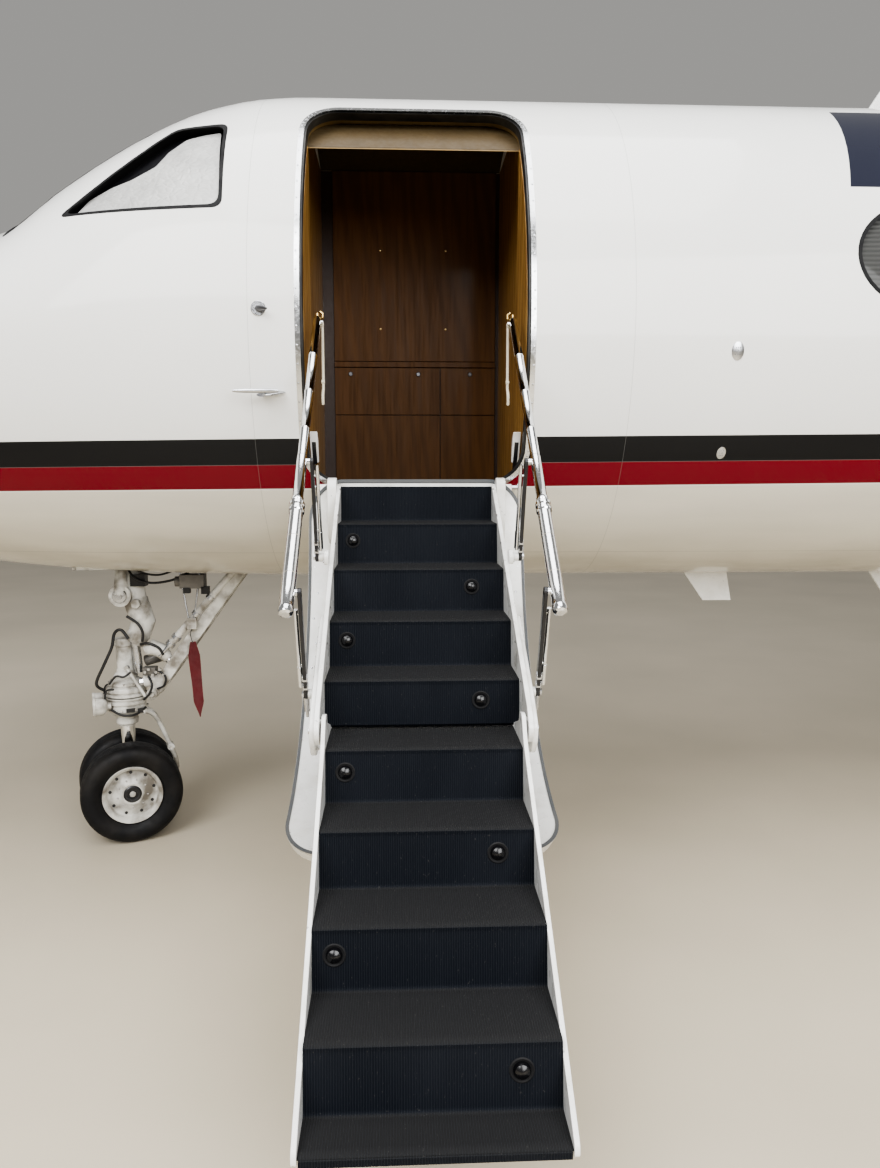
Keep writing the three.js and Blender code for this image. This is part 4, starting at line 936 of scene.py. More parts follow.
def build_room():
    """Golden side linings, the dark far wall with its drawers, the ceiling, downlights and floor."""
    x0, x1 = DOOR_X - ROOM["half"], DOOR_X + ROOM["half"]
    far, top, floor = ROOM["far"], ROOM["top"], ROOM["floor"]

    def fitted(form, name, look):
        """The form as far as the inside of the fuselage reaches."""
        space = hull(*INSIDE, WALL + 0.001).object("space")
        return clad(carved(form.object(name), "INTERSECT", space), name, look)

    jambs, linings = Form(), Form()
    for side in (-1, 1):
        x = DOOR_X + side * ROOM["half"]
        jambs.box((x, -1.2, floor), (x + side * 0.025, far, top))
        edge, back = DOOR_X + side * (DOOR["half"] - 0.012), DOOR_X + side * (ROOM["half"] - 0.001)
        linings.prism("z", [(edge, -1.2), (back, -1.2), (back, -0.72), (edge, -0.78)], 2.02, 3.42)
    settle(fitted(jambs, "entry_side_walls", "jamb_wood"), "airframe", replaces=["vestibule_lining"])
    settle(fitted(linings, "entry_jamb_linings", "jamb_wood"), "airframe", bevel=0.002)

    wall_left, wall_right = DOOR_X - 0.441, DOOR_X + 0.485
    rail_z, drawer_z, joint = 2.621, 2.341, -9.033
    posts = Form().box((x0, far - 0.006, floor), (x1, far + 0.02, top))
    settle(fitted(posts, "entry_far_posts", "dark_wood"), "airframe")
    panels = Form()
    for low, high, left, right, proud in (
        (floor + 0.012, drawer_z - 0.004, wall_left, joint - 0.002, 0.018),
        (floor + 0.012, drawer_z - 0.004, joint + 0.002, wall_right, 0.018),
        (drawer_z, rail_z - 0.014, wall_left, joint - 0.0025, 0.020),
        (drawer_z, rail_z - 0.014, joint + 0.0025, wall_right, 0.020),
        (rail_z - 0.010, rail_z + 0.020, wall_left, wall_right, 0.026),
        (rail_z + 0.024, top, wall_left, wall_right, 0.018),
    ):
        panels.box((left, far - proud, low), (right, far - 0.007, high))
    settle(fitted(panels, "entry_far_wall", "far_wood"), "airframe", bevel=0.0015)
    spots = [(x, far - 0.0185, z) for x in (-9.376, -9.002) for z in (2.826, 3.262)]
    screws = repeated("entry_screws", spots, [(0, -1, 0)] * len(spots), (0.012, 0.012, 0.004), "brass")
    settle(screws, "airframe")
    latches = Form()
    latch = [(0.0, 0.006), (0.010, 0.006), (0.013, 0.003), (0.013, -0.002), (0.0, -0.002)]
    for x in (-9.55, -9.16, -8.86):
        latches.lathe((0, -1, 0), (x, far - 0.020, 2.572), latch, 20)
    settle(latches.object("entry_drawer_latches", "dark_metal"), "airframe")

    for label, look, outer, inner, front, back in (
        ("entry_ceiling", "ceiling", WALL + 0.001, WALL + 0.004, -0.80, far),
        ("entry_arch", "trim", WALL + 0.0045, WALL + 0.0065, -0.80, -0.655),
    ):
        above = Form().box((x0, front, 3.36), (x1, back, 4.0)).object("above")
        arch = carved(hull_band(-9.86, -8.5, outer, inner), "INTERSECT", above)
        settle(clad(arch, label, look), "airframe")
    lights = Form()
    light = [(0.0, 0.004), (0.020, 0.002), (0.024, -0.004), (0.032, -0.004), (0.034, 0.0), (0.034, 0.008),
             (0.0, 0.008)]
    for x in (-9.51, -9.43):
        lights.lathe(UP, (x, -0.02, AXIS + 1.195 - WALL - 0.018), light, 28)
    settle(lights.object("entry_downlights", "dark_metal"), "airframe")

    tread = Form().box((x0, -0.86, floor), (x1, far, floor + 0.006))
    ground = carved(tread.object("tread"), "INTERSECT", hull(*INSIDE, 0.004).object("inside"))
    settle(clad(ground, "entry_floor_cover", "cover"), "airframe",
           replaces=["vestibule_floor"])
    sill = Form().box((DOOR_X - 0.376, -0.972, floor - 0.006), (DOOR_X + 0.376, -0.855, floor + 0.004))
    settle(sill.object("entry_sill", "grey_seal"), "airframe", bevel=0.002)


# Airstair

STAIR = {"y": -1.35, "z": 1.80, "run": 0.235, "rise": 0.157, "depth": 0.215, "last": 8, "last_short": 0.088}
UPPER = {"steps": range(0, 4), "half": 0.318, "side": 0.016}
LOWER = {"steps": range(4, 9), "half": 0.299, "side": 0.013}
FOLD = (-2.228, 1.243)
DOOR_PIVOT = (-1.005, 1.940)
OPEN_TURN = math.radians(144)
OPENED = (Matrix.Translation((0, *DOOR_PIVOT)) @ Matrix.Rotation(OPEN_TURN, 4, "X")
          @ Matrix.Translation((0, -DOOR_PIVOT[0], -DOOR_PIVOT[1])))
ARMS = {"upper": (-1.600, 1.690), "lower": (-2.056, 1.288)}
ARM_REACH = (-0.134, 0.350)
ARM = {"x": 0.372, "thick": 0.012}
# The bright rods: place from the door's middle, then where tip and second tie stand along the arm
ARM_RODS = {"upper": (0.3612, 0.97, 0.86), "lower": (0.3935, 0.84, 0.80)}
RAIL = {"top": (-1.050, 2.640), "end": (-2.260, 1.580), "grip_from": 0.55, "x": 0.413}
UP = Vector((0, 0, 1))
COVER_DROP = 0.0091
# Outer face of the stair's fairings and foot plates, from the door's middle
FOOT_PLATE = 0.350


def step_at(k, ahead):
    """A place on tread k, ahead of where a full tread ends."""
    return STAIR["y"] - STAIR["run"] * k + ahead, STAIR["z"] - STAIR["rise"] * k


def nosing(k):
    """The front edge of tread k, which on the last tread comes early."""
    return step_at(k, STAIR["last_short"] if k == STAIR["last"] else 0)


def heel(k):
    """The inner corner behind tread k."""
    return step_at(k, STAIR["depth"])


def stepped(steps, start, finish_points):
    """The walking line over treads and risers, its nosings and heels rounded."""
    raw = [(p, 0.0) for p in start]
    for k in steps:
        raw += [(heel(k), 0.012), (nosing(k), 0.009)]
    raw += [(p, 0.0) for p in finish_points]
    line = []
    for k, (point, radius) in enumerate(raw):
        here = Vector(point)
        if radius and 0 < k < len(raw) - 1:
            to_last = (Vector(raw[k - 1][0]) - here).normalized()
            to_next = (Vector(raw[k + 1][0]) - here).normalized()
            line += bend(here + to_last * radius, here, here + to_next * radius)
        else:
            line.append(tuple(here))
    return line


def cover(line, half):
    """The rubber over a walking line, its underside set down and back from it."""
    under = [(y + COVER_DROP, z - COVER_DROP) for y, z in line]
    verts = [(x, y, z) for x in (DOOR_X - half, DOOR_X + half) for y, z in line + under]
    count = len(line)
    top0, under0, top1, under1 = 0, count, 2 * count, 3 * count
    last = count - 1
    faces = [(top0, top1, under1, under0), (top0 + last, under0 + last, under1 + last, top1 + last)]
    for k in range(last):
        faces.append((top0 + k, top0 + k + 1, top1 + k + 1, top1 + k))
        faces.append((under0 + k, under1 + k, under1 + k + 1, under0 + k + 1))
        faces.append((top0 + k, under0 + k, under0 + k + 1, top0 + k + 1))
        faces.append((top1 + k, top1 + k + 1, under1 + k + 1, under1 + k))
    return Form().put(verts, faces)


def plates(outline, inner, outer):
    """A pair of side plates, mirrored about the door's middle."""
    form = Form()
    for side in (-1, 1):
        form.prism("x", outline, DOOR_X + side * inner, DOOR_X + side * outer)
    return form


def cross_rods(points, inner, outer, radius, sides=24):
    """Level rods along x at (Y, Z) points, mirrored about the door's middle."""
    form = Form()
    for y, z in points:
        for side in (-1, 1):
            form.rod((DOOR_X + side * inner, y, z), (DOOR_X + side * outer, y, z), radius, sides=sides)
    return form


UPPER_SIDE = [(-1.045, 1.925), (-1.075, 1.940), (-1.125, 1.957), (-1.360, 1.822), (-2.250, 1.275),
              (-2.290, 1.225), (-2.262, 1.180), (-2.210, 1.165), (-2.110, 1.110), (-1.700, 1.290),
              (-1.420, 1.480), (-1.180, 1.700), (-1.050, 1.850)]


def lower_side():
    """The lower stair's side outline, which follows its fourth to eighth treads."""
    raw = [((-2.200, 1.262), 0, 0), ((-2.250, 1.268), 0, 0), (nosing(4), -0.012, 0.020),
           (nosing(8), -0.004, 0.012), (nosing(8), -0.004, -0.018), (heel(8), 0, -0.018),
           (heel(5), 0.025, -0.025), (heel(4), 0.018, -0.018), (heel(4), 0.014, 0.014),
           ((-2.190, 1.230), 0, 0)]
    return [(y + back, z + up) for (y, z), back, up in raw]


# Outer faces of the upper stair's plates and of the arms, from the door's middle
UPPER_OUT = UPPER["half"] + UPPER["side"]
ARM_OUT = ARM["x"] + ARM["thick"]
# Each light's tread and its place as a share of the stair's width, then the turned shapes
STEP_LIGHTS = [(0, 0.095), (1, 0.81), (2, 0.095), (3, 0.80), (4, 0.10), (5, 0.83), (6, 0.095), (7, 0.84)]
STEP_LIGHT = [(0.0, 0.017), (0.010, 0.0155), (0.017, 0.011), (0.0205, 0.003), (0.021, -0.004), (0.0, -0.004)]
STEP_LIGHT_RIM = [(0.020, 0.0), (0.027, 0.003), (0.030, 0.001), (0.030, -0.004), (0.020, -0.004),
                  (0.020, 0.0)]
NOSING_SIDE = [(0.030, 0.0015), (0.004, 0.0015), (-0.0022, -0.003), (-0.0015, -0.020), (0.004, -0.020),
               (0.006, -0.006), (0.030, -0.004)]


def build_steps():
    """Rubber covered treads, side plates with their cross rods, nosings and step lights."""
    upper_line = stepped(UPPER["steps"], [(-1.060, 1.945), (-1.122, 1.945)], [(-2.071, 1.186)])
    lower_line = stepped(LOWER["steps"], [(-2.045, 1.172)], [])
    upper_rods = cross_rods(ARMS.values(), UPPER_OUT - 0.001, ARM["x"] - 0.0004, 0.016)
    upper_rods.add(cross_rods(ARMS.values(), UPPER_OUT, ARM_OUT - 0.002, 0.006, 16))
    lower_rods = cross_rods([FOLD], LOWER["half"], UPPER_OUT, 0.008, 16)
    for body, name, span, line, sides, rods, edge in (
        ("door", "upper", UPPER, upper_line, softened(UPPER_SIDE, 0.03), upper_rods, 0.0025),
        ("lower_stair", "lower", LOWER, lower_line, softened(lower_side(), 0.02), lower_rods, 0.002),
    ):
        half = span["half"]
        settle(cover(line, half).object(name + "_steps", "cover"), body, 50)
        plated = plates(sides, half, half + span["side"]).add(rods)
        settle(plated.object(name + "_stair_sides", "stair_white"), body, bevel=edge,
               replaces=[name + "_stair"])

    for body, name, span in (("door", "upper", UPPER), ("lower_stair", "lower", LOWER)):
        half = span["half"]
        nosings, lights, rims = Form(), Form(), Form()
        for k in span["steps"]:
            y, z = nosing(k)
            shape = [(y + a, z + b) for a, b in NOSING_SIDE]
            nosings.prism("x", shape, DOOR_X - half + 0.003, DOOR_X + half - 0.003)
        for k, share in STEP_LIGHTS:
            if k in span["steps"]:
                top, bottom = Vector(nosing(k)), Vector(heel(k + 1))
                spot = top.lerp(bottom, 0.42)
                out = Vector((0, bottom.y - top.y, top.x - bottom.x)).normalized()
                centre = Vector((DOOR_X - half + 2 * half * share, spot.x, spot.y))
                lights.lathe(out, centre, STEP_LIGHT, 28)
                rims.lathe(out, centre, STEP_LIGHT_RIM, 28)
        settle(nosings.object(name + "_nosings", "cover"), body, 40)
        settle(lights.object(name + "_step_lights", "black_glass"), body)
        settle(rims.object(name + "_step_light_rims", "rim_rubber"), body)


# Side outlines (Y, Z) of the plates over the upper stair's two ends
FAIRING_SIDE = [(-1.800, 1.520), (-2.180, 1.300), (-2.262, 1.235), (-2.262, 1.185), (-2.215, 1.128),
                (-2.150, 1.120), (-1.900, 1.300), (-1.800, 1.370)]
HEAD_SIDE = [(-1.050, 1.922), (-1.065, 1.938), (-1.105, 1.960), (-1.140, 1.985), (-1.175, 1.975),
             (-1.195, 1.945), (-1.190, 1.800), (-1.170, 1.720), (-1.120, 1.700), (-1.075, 1.800)]


def build_stair_fairings():
    """Riveted plates over the upper stair's lower ends, with the fold's bolts in their dark slots."""
    white = plates(softened(FAIRING_SIDE, 0.05), UPPER_OUT - 0.001, FOOT_PLATE)
    white.add(plates(softened(HEAD_SIDE, 0.025), UPPER_OUT - 0.001, 0.371))
    settle(white.object("stair_fairings", "stair_white"), "door", bevel=0.0035)
    seats = [(FOLD[0] + 0.004, FOLD[1] - 0.030), (FOLD[0] + 0.060, FOLD[1] - 0.062)]
    slots = cross_rods(seats, FOOT_PLATE - 0.001, FOOT_PLATE + 0.0012, 0.017, 28)
    settle(slots.object("fold_slots", "black_paint"), "door")
    bolts = cross_rods(seats, FOOT_PLATE, FOOT_PLATE + 0.006, 0.0105, 6)
    settle(bolts.object("fold_bolts", "steel"), "door", bevel=0.001)
    spots, facings = [], []
    for side in (-1, 1):
        for count, place, start, pitch, height, slope, way in (
            (9, FOOT_PLATE + 0.0005, -1.86, 0.042, 1.472, 0.60, side),
            (7, UPPER["half"] - 0.0006, -1.20, 0.15, 1.935, 0.668, -side),
        ):
            for k in range(count):
                spots.append((DOOR_X + side * place, start - pitch * k, height - pitch * k * slope))
                facings.append((way, 0, 0))
    settle(repeated("stair_rivets", spots, facings, (0.010, 0.010, 0.004), "steel"), "door")


LINK_PATH = [(0, 0), (0.002, -0.06), (0.004, -0.225), (0.002, -0.262), (-0.014, -0.276), (-0.026, -0.292),
             (-0.027, -0.318), (-0.021, -0.330)]


def rail_point(side, share):
    """A place on a handrail's middle line."""
    y, z = Vector(RAIL["top"]).lerp(Vector(RAIL["end"]), share)
    return Vector((DOOR_X + side * RAIL["x"], y, z))


def sleeve(form, along, start, profile, sides=32):
    """Adds a turned body from (radius, place) pairs, closed at both ends on its axis."""
    return form.lathe(along, start, [(0.0, profile[0][1]), *profile, (0.0, profile[-1][1])], sides)


def build_rails():
    """Telescoping chrome handrails, their collars, end caps, top brackets and hooked links."""
    for name, side in (("fore", -1), ("aft", 1)):
        top, end = rail_point(side, 0), rail_point(side, 1)
        along = (end - top).normalized()
        length = (end - top).length
        start, ring = RAIL["grip_from"] * length, 0.70 * length
        thin, middle, wide, collar = 0.0185, 0.0205, 0.0225, 0.0265
        profile = [(0.0165, start), (thin, start + 0.003)]
        profile += [(radius, ring + place) for radius, place in (
            (thin, -0.030), (middle, -0.026), (middle, -0.012), (thin, -0.009), (thin, 0.0), (collar, 0.003),
            (collar, 0.014), (wide, 0.018), (wide, 0.028), (collar, 0.032), (collar, 0.040), (wide, 0.045))]
        for groove in (0.80 * length, 0.90 * length):
            profile += [(wide, groove), (wide - 0.0012, groove + 0.001), (wide, groove + 0.002)]
        profile += [(wide, length - 0.030), (wide + 0.001, length - 0.028), (wide + 0.001, length - 0.014),
                    (wide - 0.002, length - 0.005), (0.013, length)]
        grip = sleeve(Form(), along, top, profile, 44)
        for pivot in ARMS.values():
            y, z = Vector(pivot) + Vector(ARM_REACH)
            for near, far, radius, sides in ((ARM_OUT + 0.0003, RAIL["x"] - 0.004, 0.012, 24),
                                             (ARM["x"] + 0.002, RAIL["x"] - 0.006, 0.006, 20)):
                grip.rod((DOOR_X + side * near, y, z), (DOOR_X + side * far, y, z), radius, sides=sides)
        settle(grip.object("handrail_grip_" + name, "chrome"), "rails",
               replaces=["rail_" + name])

        tube, band = 0.0172, 0.0182
        profile = [(0.0105, -0.012), (0.0165, -0.004), (tube, 0.002)]
        for place in (0.16 * length, 0.31 * length, 0.45 * length):
            profile += [(tube, place), (band, place + 0.002), (band, place + 0.014), (tube, place + 0.016)]
        profile.append((tube, 0.5495 * length))
        rod = sleeve(Form(), along, top, profile, 36)
        sleeve(rod, along, top, [(0.0155, 0.548 * length), (0.0155, 0.71 * length)], 24)
        pin = top + along * 0.02
        rod.rod(pin, pin + Vector((-side * 0.026, 0, 0)), 0.007)
        settle(rod.object("handrail_rod_" + name, "chrome"), "rail_rods",
               replaces=["rail_rod_" + name])
        fork = Form().hose(trail((DOOR_X + side * 0.3905, top.y + 0.006, top.z + 0.006),
                                 (0, 0, 0), (0, 0.012, 0.020), (side * 0.012, 0.014, 0.030)), 0.006)
        fork.hose(trail(top, (0, 0.004, 0.006), (0, 0.014, 0.026)), [0.011, 0.007], 16)
        settle(fork.object("handrail_bracket_" + name, "brass"), "rail_rods")
        hang = Vector((DOOR_X + side * 0.3918, top.y + 0.004, top.z - 0.020))
        link = Form().hose(trail(hang, *[(0, y, z) for y, z in LINK_PATH]), 0.0062, 14)
        sleeve(link, (1, 0, 0), hang, [(0.010, -0.006), (0.011, 0.0), (0.010, 0.006)], 20)
        sleeve(link, (1, 0, 0), hang + Vector((0, 0.003, -0.235)), [(0.0085, -0.0066), (0.0085, 0.0066)], 16)
        settle(link.object("handrail_link_" + name, "cream_metal"), "rail_rods")


def build_arms():
    """Black arm bars, each with a bright rod beside it, and the clamps and feet they stand in."""
    for name, side in (("fore", -1), ("aft", 1)):
        at = lambda x, spot: Vector((DOOR_X + side * x, spot.x, spot.y))
        low, high = sorted((DOOR_X + side * ARM["x"], DOOR_X + side * ARM_OUT))
        for label, pivot in ARMS.items():
            beside, tip, second = ARM_RODS[label]
            foot = Vector(pivot)
            head = foot + Vector(ARM_REACH)
            run = (head - foot).normalized()
            reach = (head - foot).length
            across = Vector((-run.y, run.x)) * 0.0135
            outline = [tuple(p) for p in (foot + across, foot - across, head - across, head + across)]
            arm = Form().prism("x", outline, low, high)
            for spot, radius in ((foot, 0.016), (head, 0.014)):
                arm.rod((low, *spot), (high, *spot), radius, sides=28)
            settle(arm.object(label + "_arm_bar_" + name, "black_paint"), label + "_arms",
                   bevel=0.0015, replaces=[label + "_arm_" + name])

            start = foot + run * 0.030
            bright = Form().rod(at(beside, start), at(beside, foot + run * (reach * tip)), 0.0068)
            bright.rod(at(beside, start), at(beside, start + run * 0.075), 0.0082)
            for share in (0.30, second):
                spot = foot + run * reach * share
                bright.rod(at(beside, spot), at(ARM["x"] + ARM["thick"] / 2, spot), 0.0045, sides=12)
            settle(bright.object(label + "_arm_rod_" + name, "chrome"), label + "_arms")
            clamp = Form()
            for spot in (start, foot + run * 0.062):
                clamp.rod(at(ARM["x"] - 0.002, spot), at(ARM_OUT + 0.002, spot), 0.0155, sides=6)
            if label == "lower":
                middle = ARM["x"] + 0.006
                tail = foot - run * 0.068
                clamp.rod(at(middle, foot - run * 0.012), at(middle, tail), 0.0105, 0.0085)
                clamp.rod(at(middle, tail), at(middle, tail - run * 0.022), 0.0055, sides=16)
            settle(clamp.object(label + "_arm_clamps_" + name, "steel"), label + "_arms",
                   bevel=0.001)

    feet, bolts = Form(), Form()
    for y, z in ARMS.values():
        plate = [(y + a, z + b) for a, b in ((-0.030, -0.028), (0.034, -0.010), (0.030, 0.022),
                                             (-0.012, 0.030), (-0.036, 0.006))]
        feet.add(plates(softened(plate, 0.014), UPPER_OUT, FOOT_PLATE))
        bolts.add(cross_rods([(y, z)], FOOT_PLATE, ARM_OUT + 0.006, 0.0058, 16))
        bolts.add(cross_rods([(y, z)], ARM_OUT + 0.0012, ARM_OUT + 0.0075, 0.0115, 6))
        small = [(y - 0.020, z - 0.014), (y + 0.018, z + 0.012)]
        bolts.add(cross_rods(small, FOOT_PLATE - 0.001, FOOT_PLATE + 0.004, 0.006, 6))
    settle(feet.object("arm_feet", "stair_white"), "door", bevel=0.002)
    settle(bolts.object("arm_bolts", "steel"), "door")


# The hinge arm's side outline (Y, Z) from the pivot, with the door closed
HINGE_ARM = [(-0.018, 0), (0, -0.018), (0.012, -0.008), (0.011, 0.012), (0.004, 0.036), (-0.005, 0.058),
             (-0.011, 0.074), (-0.004, 0.084), (0.004, 0.110), (-0.026, 0.112), (-0.038, 0.080),
             (-0.032, 0.040)]


def build_door_panel():
    """The door's skin, seal, hinge arms and screws, drawn closed and then turned to where it stands open."""
    def closed_part(outer, inner, tool, name, look):
        """A slice of the closed door's wall inside a tool, turned open."""
        made = clad(carved(hull_band(*ENTRY, outer, inner), "INTERSECT", tool), name, look)
        made.data.transform(OPENED)
        return made

    opening = Form().prism("y", door_outline(0.020, 0.15), -1.5, -0.3).object("opening")
    panel = closed_part(0.0, 0.070, opening, "airstair_door_skin", "stair_white")
    settle(panel, "door", bevel=0.004)
    outline = [(DOOR_PIVOT[0] + y, DOOR_PIVOT[1] + z) for y, z in softened(HINGE_ARM, 0.006)]
    arms = plates(outline, 0.384, 0.418).moved(OPENED)
    settle(arms.object("door_hinge_arms", "stair_white"), "door", bevel=0.002,
           replaces=["door_panel"])
    ring = Form().prism("y", door_outline(0.021, 0.147), -1.5, -0.3).object("ring")
    hole = Form().prism("y", door_outline(0.032, 0.138), -1.6, -0.2).object("hole")
    rim = closed_part(0.045, 0.074, carved(ring, "DIFFERENCE", hole), "airstair_door_seal", "grey_seal")
    settle(rim, "door")
    spots = []
    for side in (-1, 1):
        for k in range(13):
            x, z = DOOR_X + side * (0.415 if k % 2 else 0.428), 2.08 + 0.11 * k
            spots.append(OPENED @ Vector((x, -side_y(x, z) + 0.072, z)))
    facings = [OPENED.to_3x3() @ Vector((0, 1, 0))] * len(spots)
    screws = repeated("airstair_door_screws", spots, facings, (0.009, 0.009, 0.004), "steel")
    settle(screws, "door")


# Small fittings on the skin

VANE = {"place": (-9.835, 2.659), "radius": 0.030}
PITOT = {"tip": -9.944, "tail": -9.732, "z": 2.332, "reach": 0.062}
# Sections of the pitot's mast: share of its reach, half length and shift forward
PITOT_MAST = [(-0.02, 0.055, 0.0), (0.3, 0.048, 0.0), (0.7, 0.036, 0.016), (1.0, 0.020, 0.036)]
BEACON_X = -5.6
PORTS = [(-7.866, 2.504, 0.026), (-7.872, 2.089, 0.020)]


def on_skin(x, z, side=-1, out=0.0):
    """A place on the fuselage side, moved outwards, and the way out there."""
    y = side * side_y(x, z)
    up = side_y(x, z + 0.01) - side_y(x, z - 0.01)
    normal = Vector((0, side * 0.02, -up)).normalized()
    return Vector((x, y, z)) + normal * out, normal


def build_fittings():
    """The flow vanes, pitot probes and pressure ports of both sides, the belly's beacon and its drains."""
    metal_parts, dark, white = Form(), Form(), Form()
    radius = VANE["radius"]
    for side in (-1, 1):
        spot, out = on_skin(*VANE["place"], side)
        sleeve(metal_parts, out, spot, [(radius, -0.006), (radius, 0.0025), (radius - 0.002, 0.004),
                                        (0.016, 0.004), (0.015, 0.006)], 40)
        dark.hose([spot + out * 0.004, spot + out * 0.030 + Vector((0.016, 0, -0.004)),
                   spot + out * 0.052 + Vector((0.040, 0, -0.010))], [0.0135, 0.011, 0.004], 24)
        for spin in around(6):
            rim = spot + Vector((math.cos(spin), 0, math.sin(spin))) * (radius - 0.006) + out * 0.0035
            dark.rod(rim, rim + out * 0.0012, 0.0022, sides=10)
        base, out = on_skin(PITOT["tail"] - 0.06, PITOT["z"], side)
        mast = []
        for share, half, fore in PITOT_MAST:
            middle = base + out * PITOT["reach"] * share
            ring = [(half * math.cos(t) - fore, 0, 0.0075 * math.sin(t)) for t in around(28)]
            mast.append(trail(middle, *ring))
        metal_parts.rings(mast)
        tip = Vector((PITOT["tip"], (base + out * PITOT["reach"]).y, PITOT["z"]))
        metal_parts.hose([tip + Vector((back, 0, 0)) for back in (0, 0.012, 0.05, 0.16, 0.185)],
                         [0.0055, 0.0075, 0.0095, 0.0095, 0.006], 24)
        dark.rod(tip - Vector((0.0006, 0, 0)), tip + Vector((0.006, 0, 0)), 0.0038, sides=16)
        for x, z, size in PORTS:
            spot, out = on_skin(x, z, side)
            up = Vector((0, out.z, -out.y)) * size
            plate = []
            for lift, grow in ((-0.004, 1.0), (0.0014, 1.0), (0.0022, 0.94)):
                plate.append([spot + out * lift + Vector((size * grow * math.cos(t), 0, 0))
                              + up * (math.sin(t) * 1.45 * grow) for t in around(40)])
            metal_parts.rings(plate)
            for row in (-1, 0, 1):
                for column in (-1, 0, 1):
                    hole = spot + out * 0.0018 + Vector((column * size * 0.36, 0, 0)) + up * (row * 0.55)
                    dark.rod(hole, hole + out * 0.0008, size * 0.085, sides=12)
    white.hose([(BEACON_X, 0, 1.462), (BEACON_X, 0, 1.41)], [0.055, 0.035], 32)
    dark.hose([(BEACON_X, 0, 1.418), (BEACON_X, 0, 1.36), (BEACON_X, 0, 1.345)], [0.034, 0.028, 0.010], 32)
    for x in (-3.9, -2.6):
        white.hose([(x, -0.30, 1.50), (x + 0.01, -0.31, 1.43), (x + 0.05, -0.31, 1.40)],
                   [0.016, 0.012, 0.009], 20)
    settle(metal_parts.object("skin_probes", "steel"), "airframe")
    settle(dark.object("skin_probe_tips", "dark_metal"), "airframe")
    settle(white.object("belly_drains", "white"), "airframe")


# Landing gear

NOSE = {"x": -10.80, "radius": 0.267, "half": 0.092, "track": 0.290, "rim": 0.158}
MAIN = {"x": 0.86, "y": 2.085, "radius": 0.432, "half": 0.1175, "track": 0.50, "rim": 0.235}
NOSE_TURN = (Matrix.Translation((NOSE["x"], 0, 0)) @ Matrix.Rotation(math.radians(20), 4, "Z")
             @ Matrix.Translation((-NOSE["x"], 0, 0)))


# Half a tyre's wall as shares: of the way from rim to tread, and of the half width
TYRE_WALL = [(0.42, 0.985), (0.58, 1.0), (0.76, 0.955), (0.90, 0.82), (0.968, 0.66), (0.994, 0.48)]


def tyre_profile(radius, half, rim, grooves):
    """A tyre's closed section as (radius, place) pairs, with grooves in the tread."""
    side = [(rim - 0.004, half * 0.60), (rim + 0.004, half * 0.70), (rim + 0.014, half * 0.84)]
    side += [(rim + (radius - rim) * share, half * width) for share, width in TYRE_WALL]
    tread = []
    for place in grooves:
        for shift, depth in ((0.0045, 0.0), (0.0030, 0.006), (-0.0030, 0.006), (-0.0045, 0.0)):
            tread.append((radius - depth, place + shift))
    back = [(r, -a) for r, a in reversed(side)]
    return [*side, *tread, *back, side[0]]


# Turned shapes of a wheel as shares: of the rim's radius, and of the tyre's half width
RIM_SHAPE = [
    (0.30, 0.50), (0.36, 0.52), (0.42, 0.44), (0.62, 0.30), (0.66, 0.24), (0.80, 0.20), (0.835, 0.26),
    (0.85, 0.52), (0.90, 0.70), (0.985, 0.78), (1.0, 0.74), (1.0, 0.60), (0.93, 0.40), (0.90, -0.40),
    (0.93, -0.60), (1.0, -0.66), (0.985, -0.74), (0.86, -0.66), (0.80, -0.30), (0.30, -0.34), (0.30, 0.50),
]
BEARING_SHAPE = [(0.0, 0.46), (0.16, 0.47), (0.17, 0.56), (0.25, 0.58), (0.30, 0.52), (0.30, 0.40),
                 (0.0, 0.40)]
BRAKE_SHAPE = [(0.0, -0.30), (0.62, -0.36), (0.78, -0.60), (0.60, -0.64), (0.0, -0.60)]
CAP_SHAPE = [(0.0, 0.46), (0.10, 0.48), (0.10, 0.54), (0.0, 0.56)]


def wheel_set(names, centre, gear, turn, nodes):
    """Twin tyres on rims with a row of holes, bolts and a dark bearing."""
    rim, half = gear["rim"], gear["half"]
    grooves = [half * share for share in (0.36, 0.12, -0.12, -0.36)]
    sized = lambda shape: [(rim * radius, half * place) for radius, place in shape]
    tyres, rims, dark, bolts = Form(), Form(), Form(), Form()
    for side in (-1, 1):
        middle = Vector(centre) + Vector((0, side * gear["track"] / 2, 0))
        out = Vector((0, side, 0))
        tyres.lathe(out, middle, tyre_profile(gear["radius"], half, rim, grooves), 112)
        rims.lathe(out, middle, sized(RIM_SHAPE), 96)
        dark.lathe(out, middle, sized(BEARING_SHAPE))
        dark.lathe(out, middle, sized(BRAKE_SHAPE))
        for form, start, distance, proud, height, radius, sides in (
            (dark, 0.3, 0.73, 0.215, 0.0022, 0.055, 18), (bolts, 0.8, 0.50, 0.34, 0.010, 0.032, 6),
        ):
            for spin in around(9, start):
                ring = Vector((math.cos(spin), 0, math.sin(spin)))
                spot = middle + ring * (rim * distance) + out * (half * proud)
                form.rod(spot, spot + out * height, rim * radius, sides=sides)
        bolts.lathe(out, middle, sized(CAP_SHAPE), 12)
    reach = Vector((0, gear["track"] / 2 - half * 0.5, 0))
    dark.rod(Vector(centre) - reach, Vector(centre) + reach, rim * 0.085)
    for form, label, look, tag, replaced in (
        (tyres, "tyres", "tyre", "tyre", nodes["tyres"]),
        (rims, "rims", "gear", "gear_metal", nodes["wheels"]),
        (dark, "bearings", "black_paint", "bright_metal", []),
        (bolts, "bolts", "steel", "bright_metal", []),
    ):
        made = form.moved(turn).object(names + "_" + label, look)
        settle(made, names, 40, replaced)


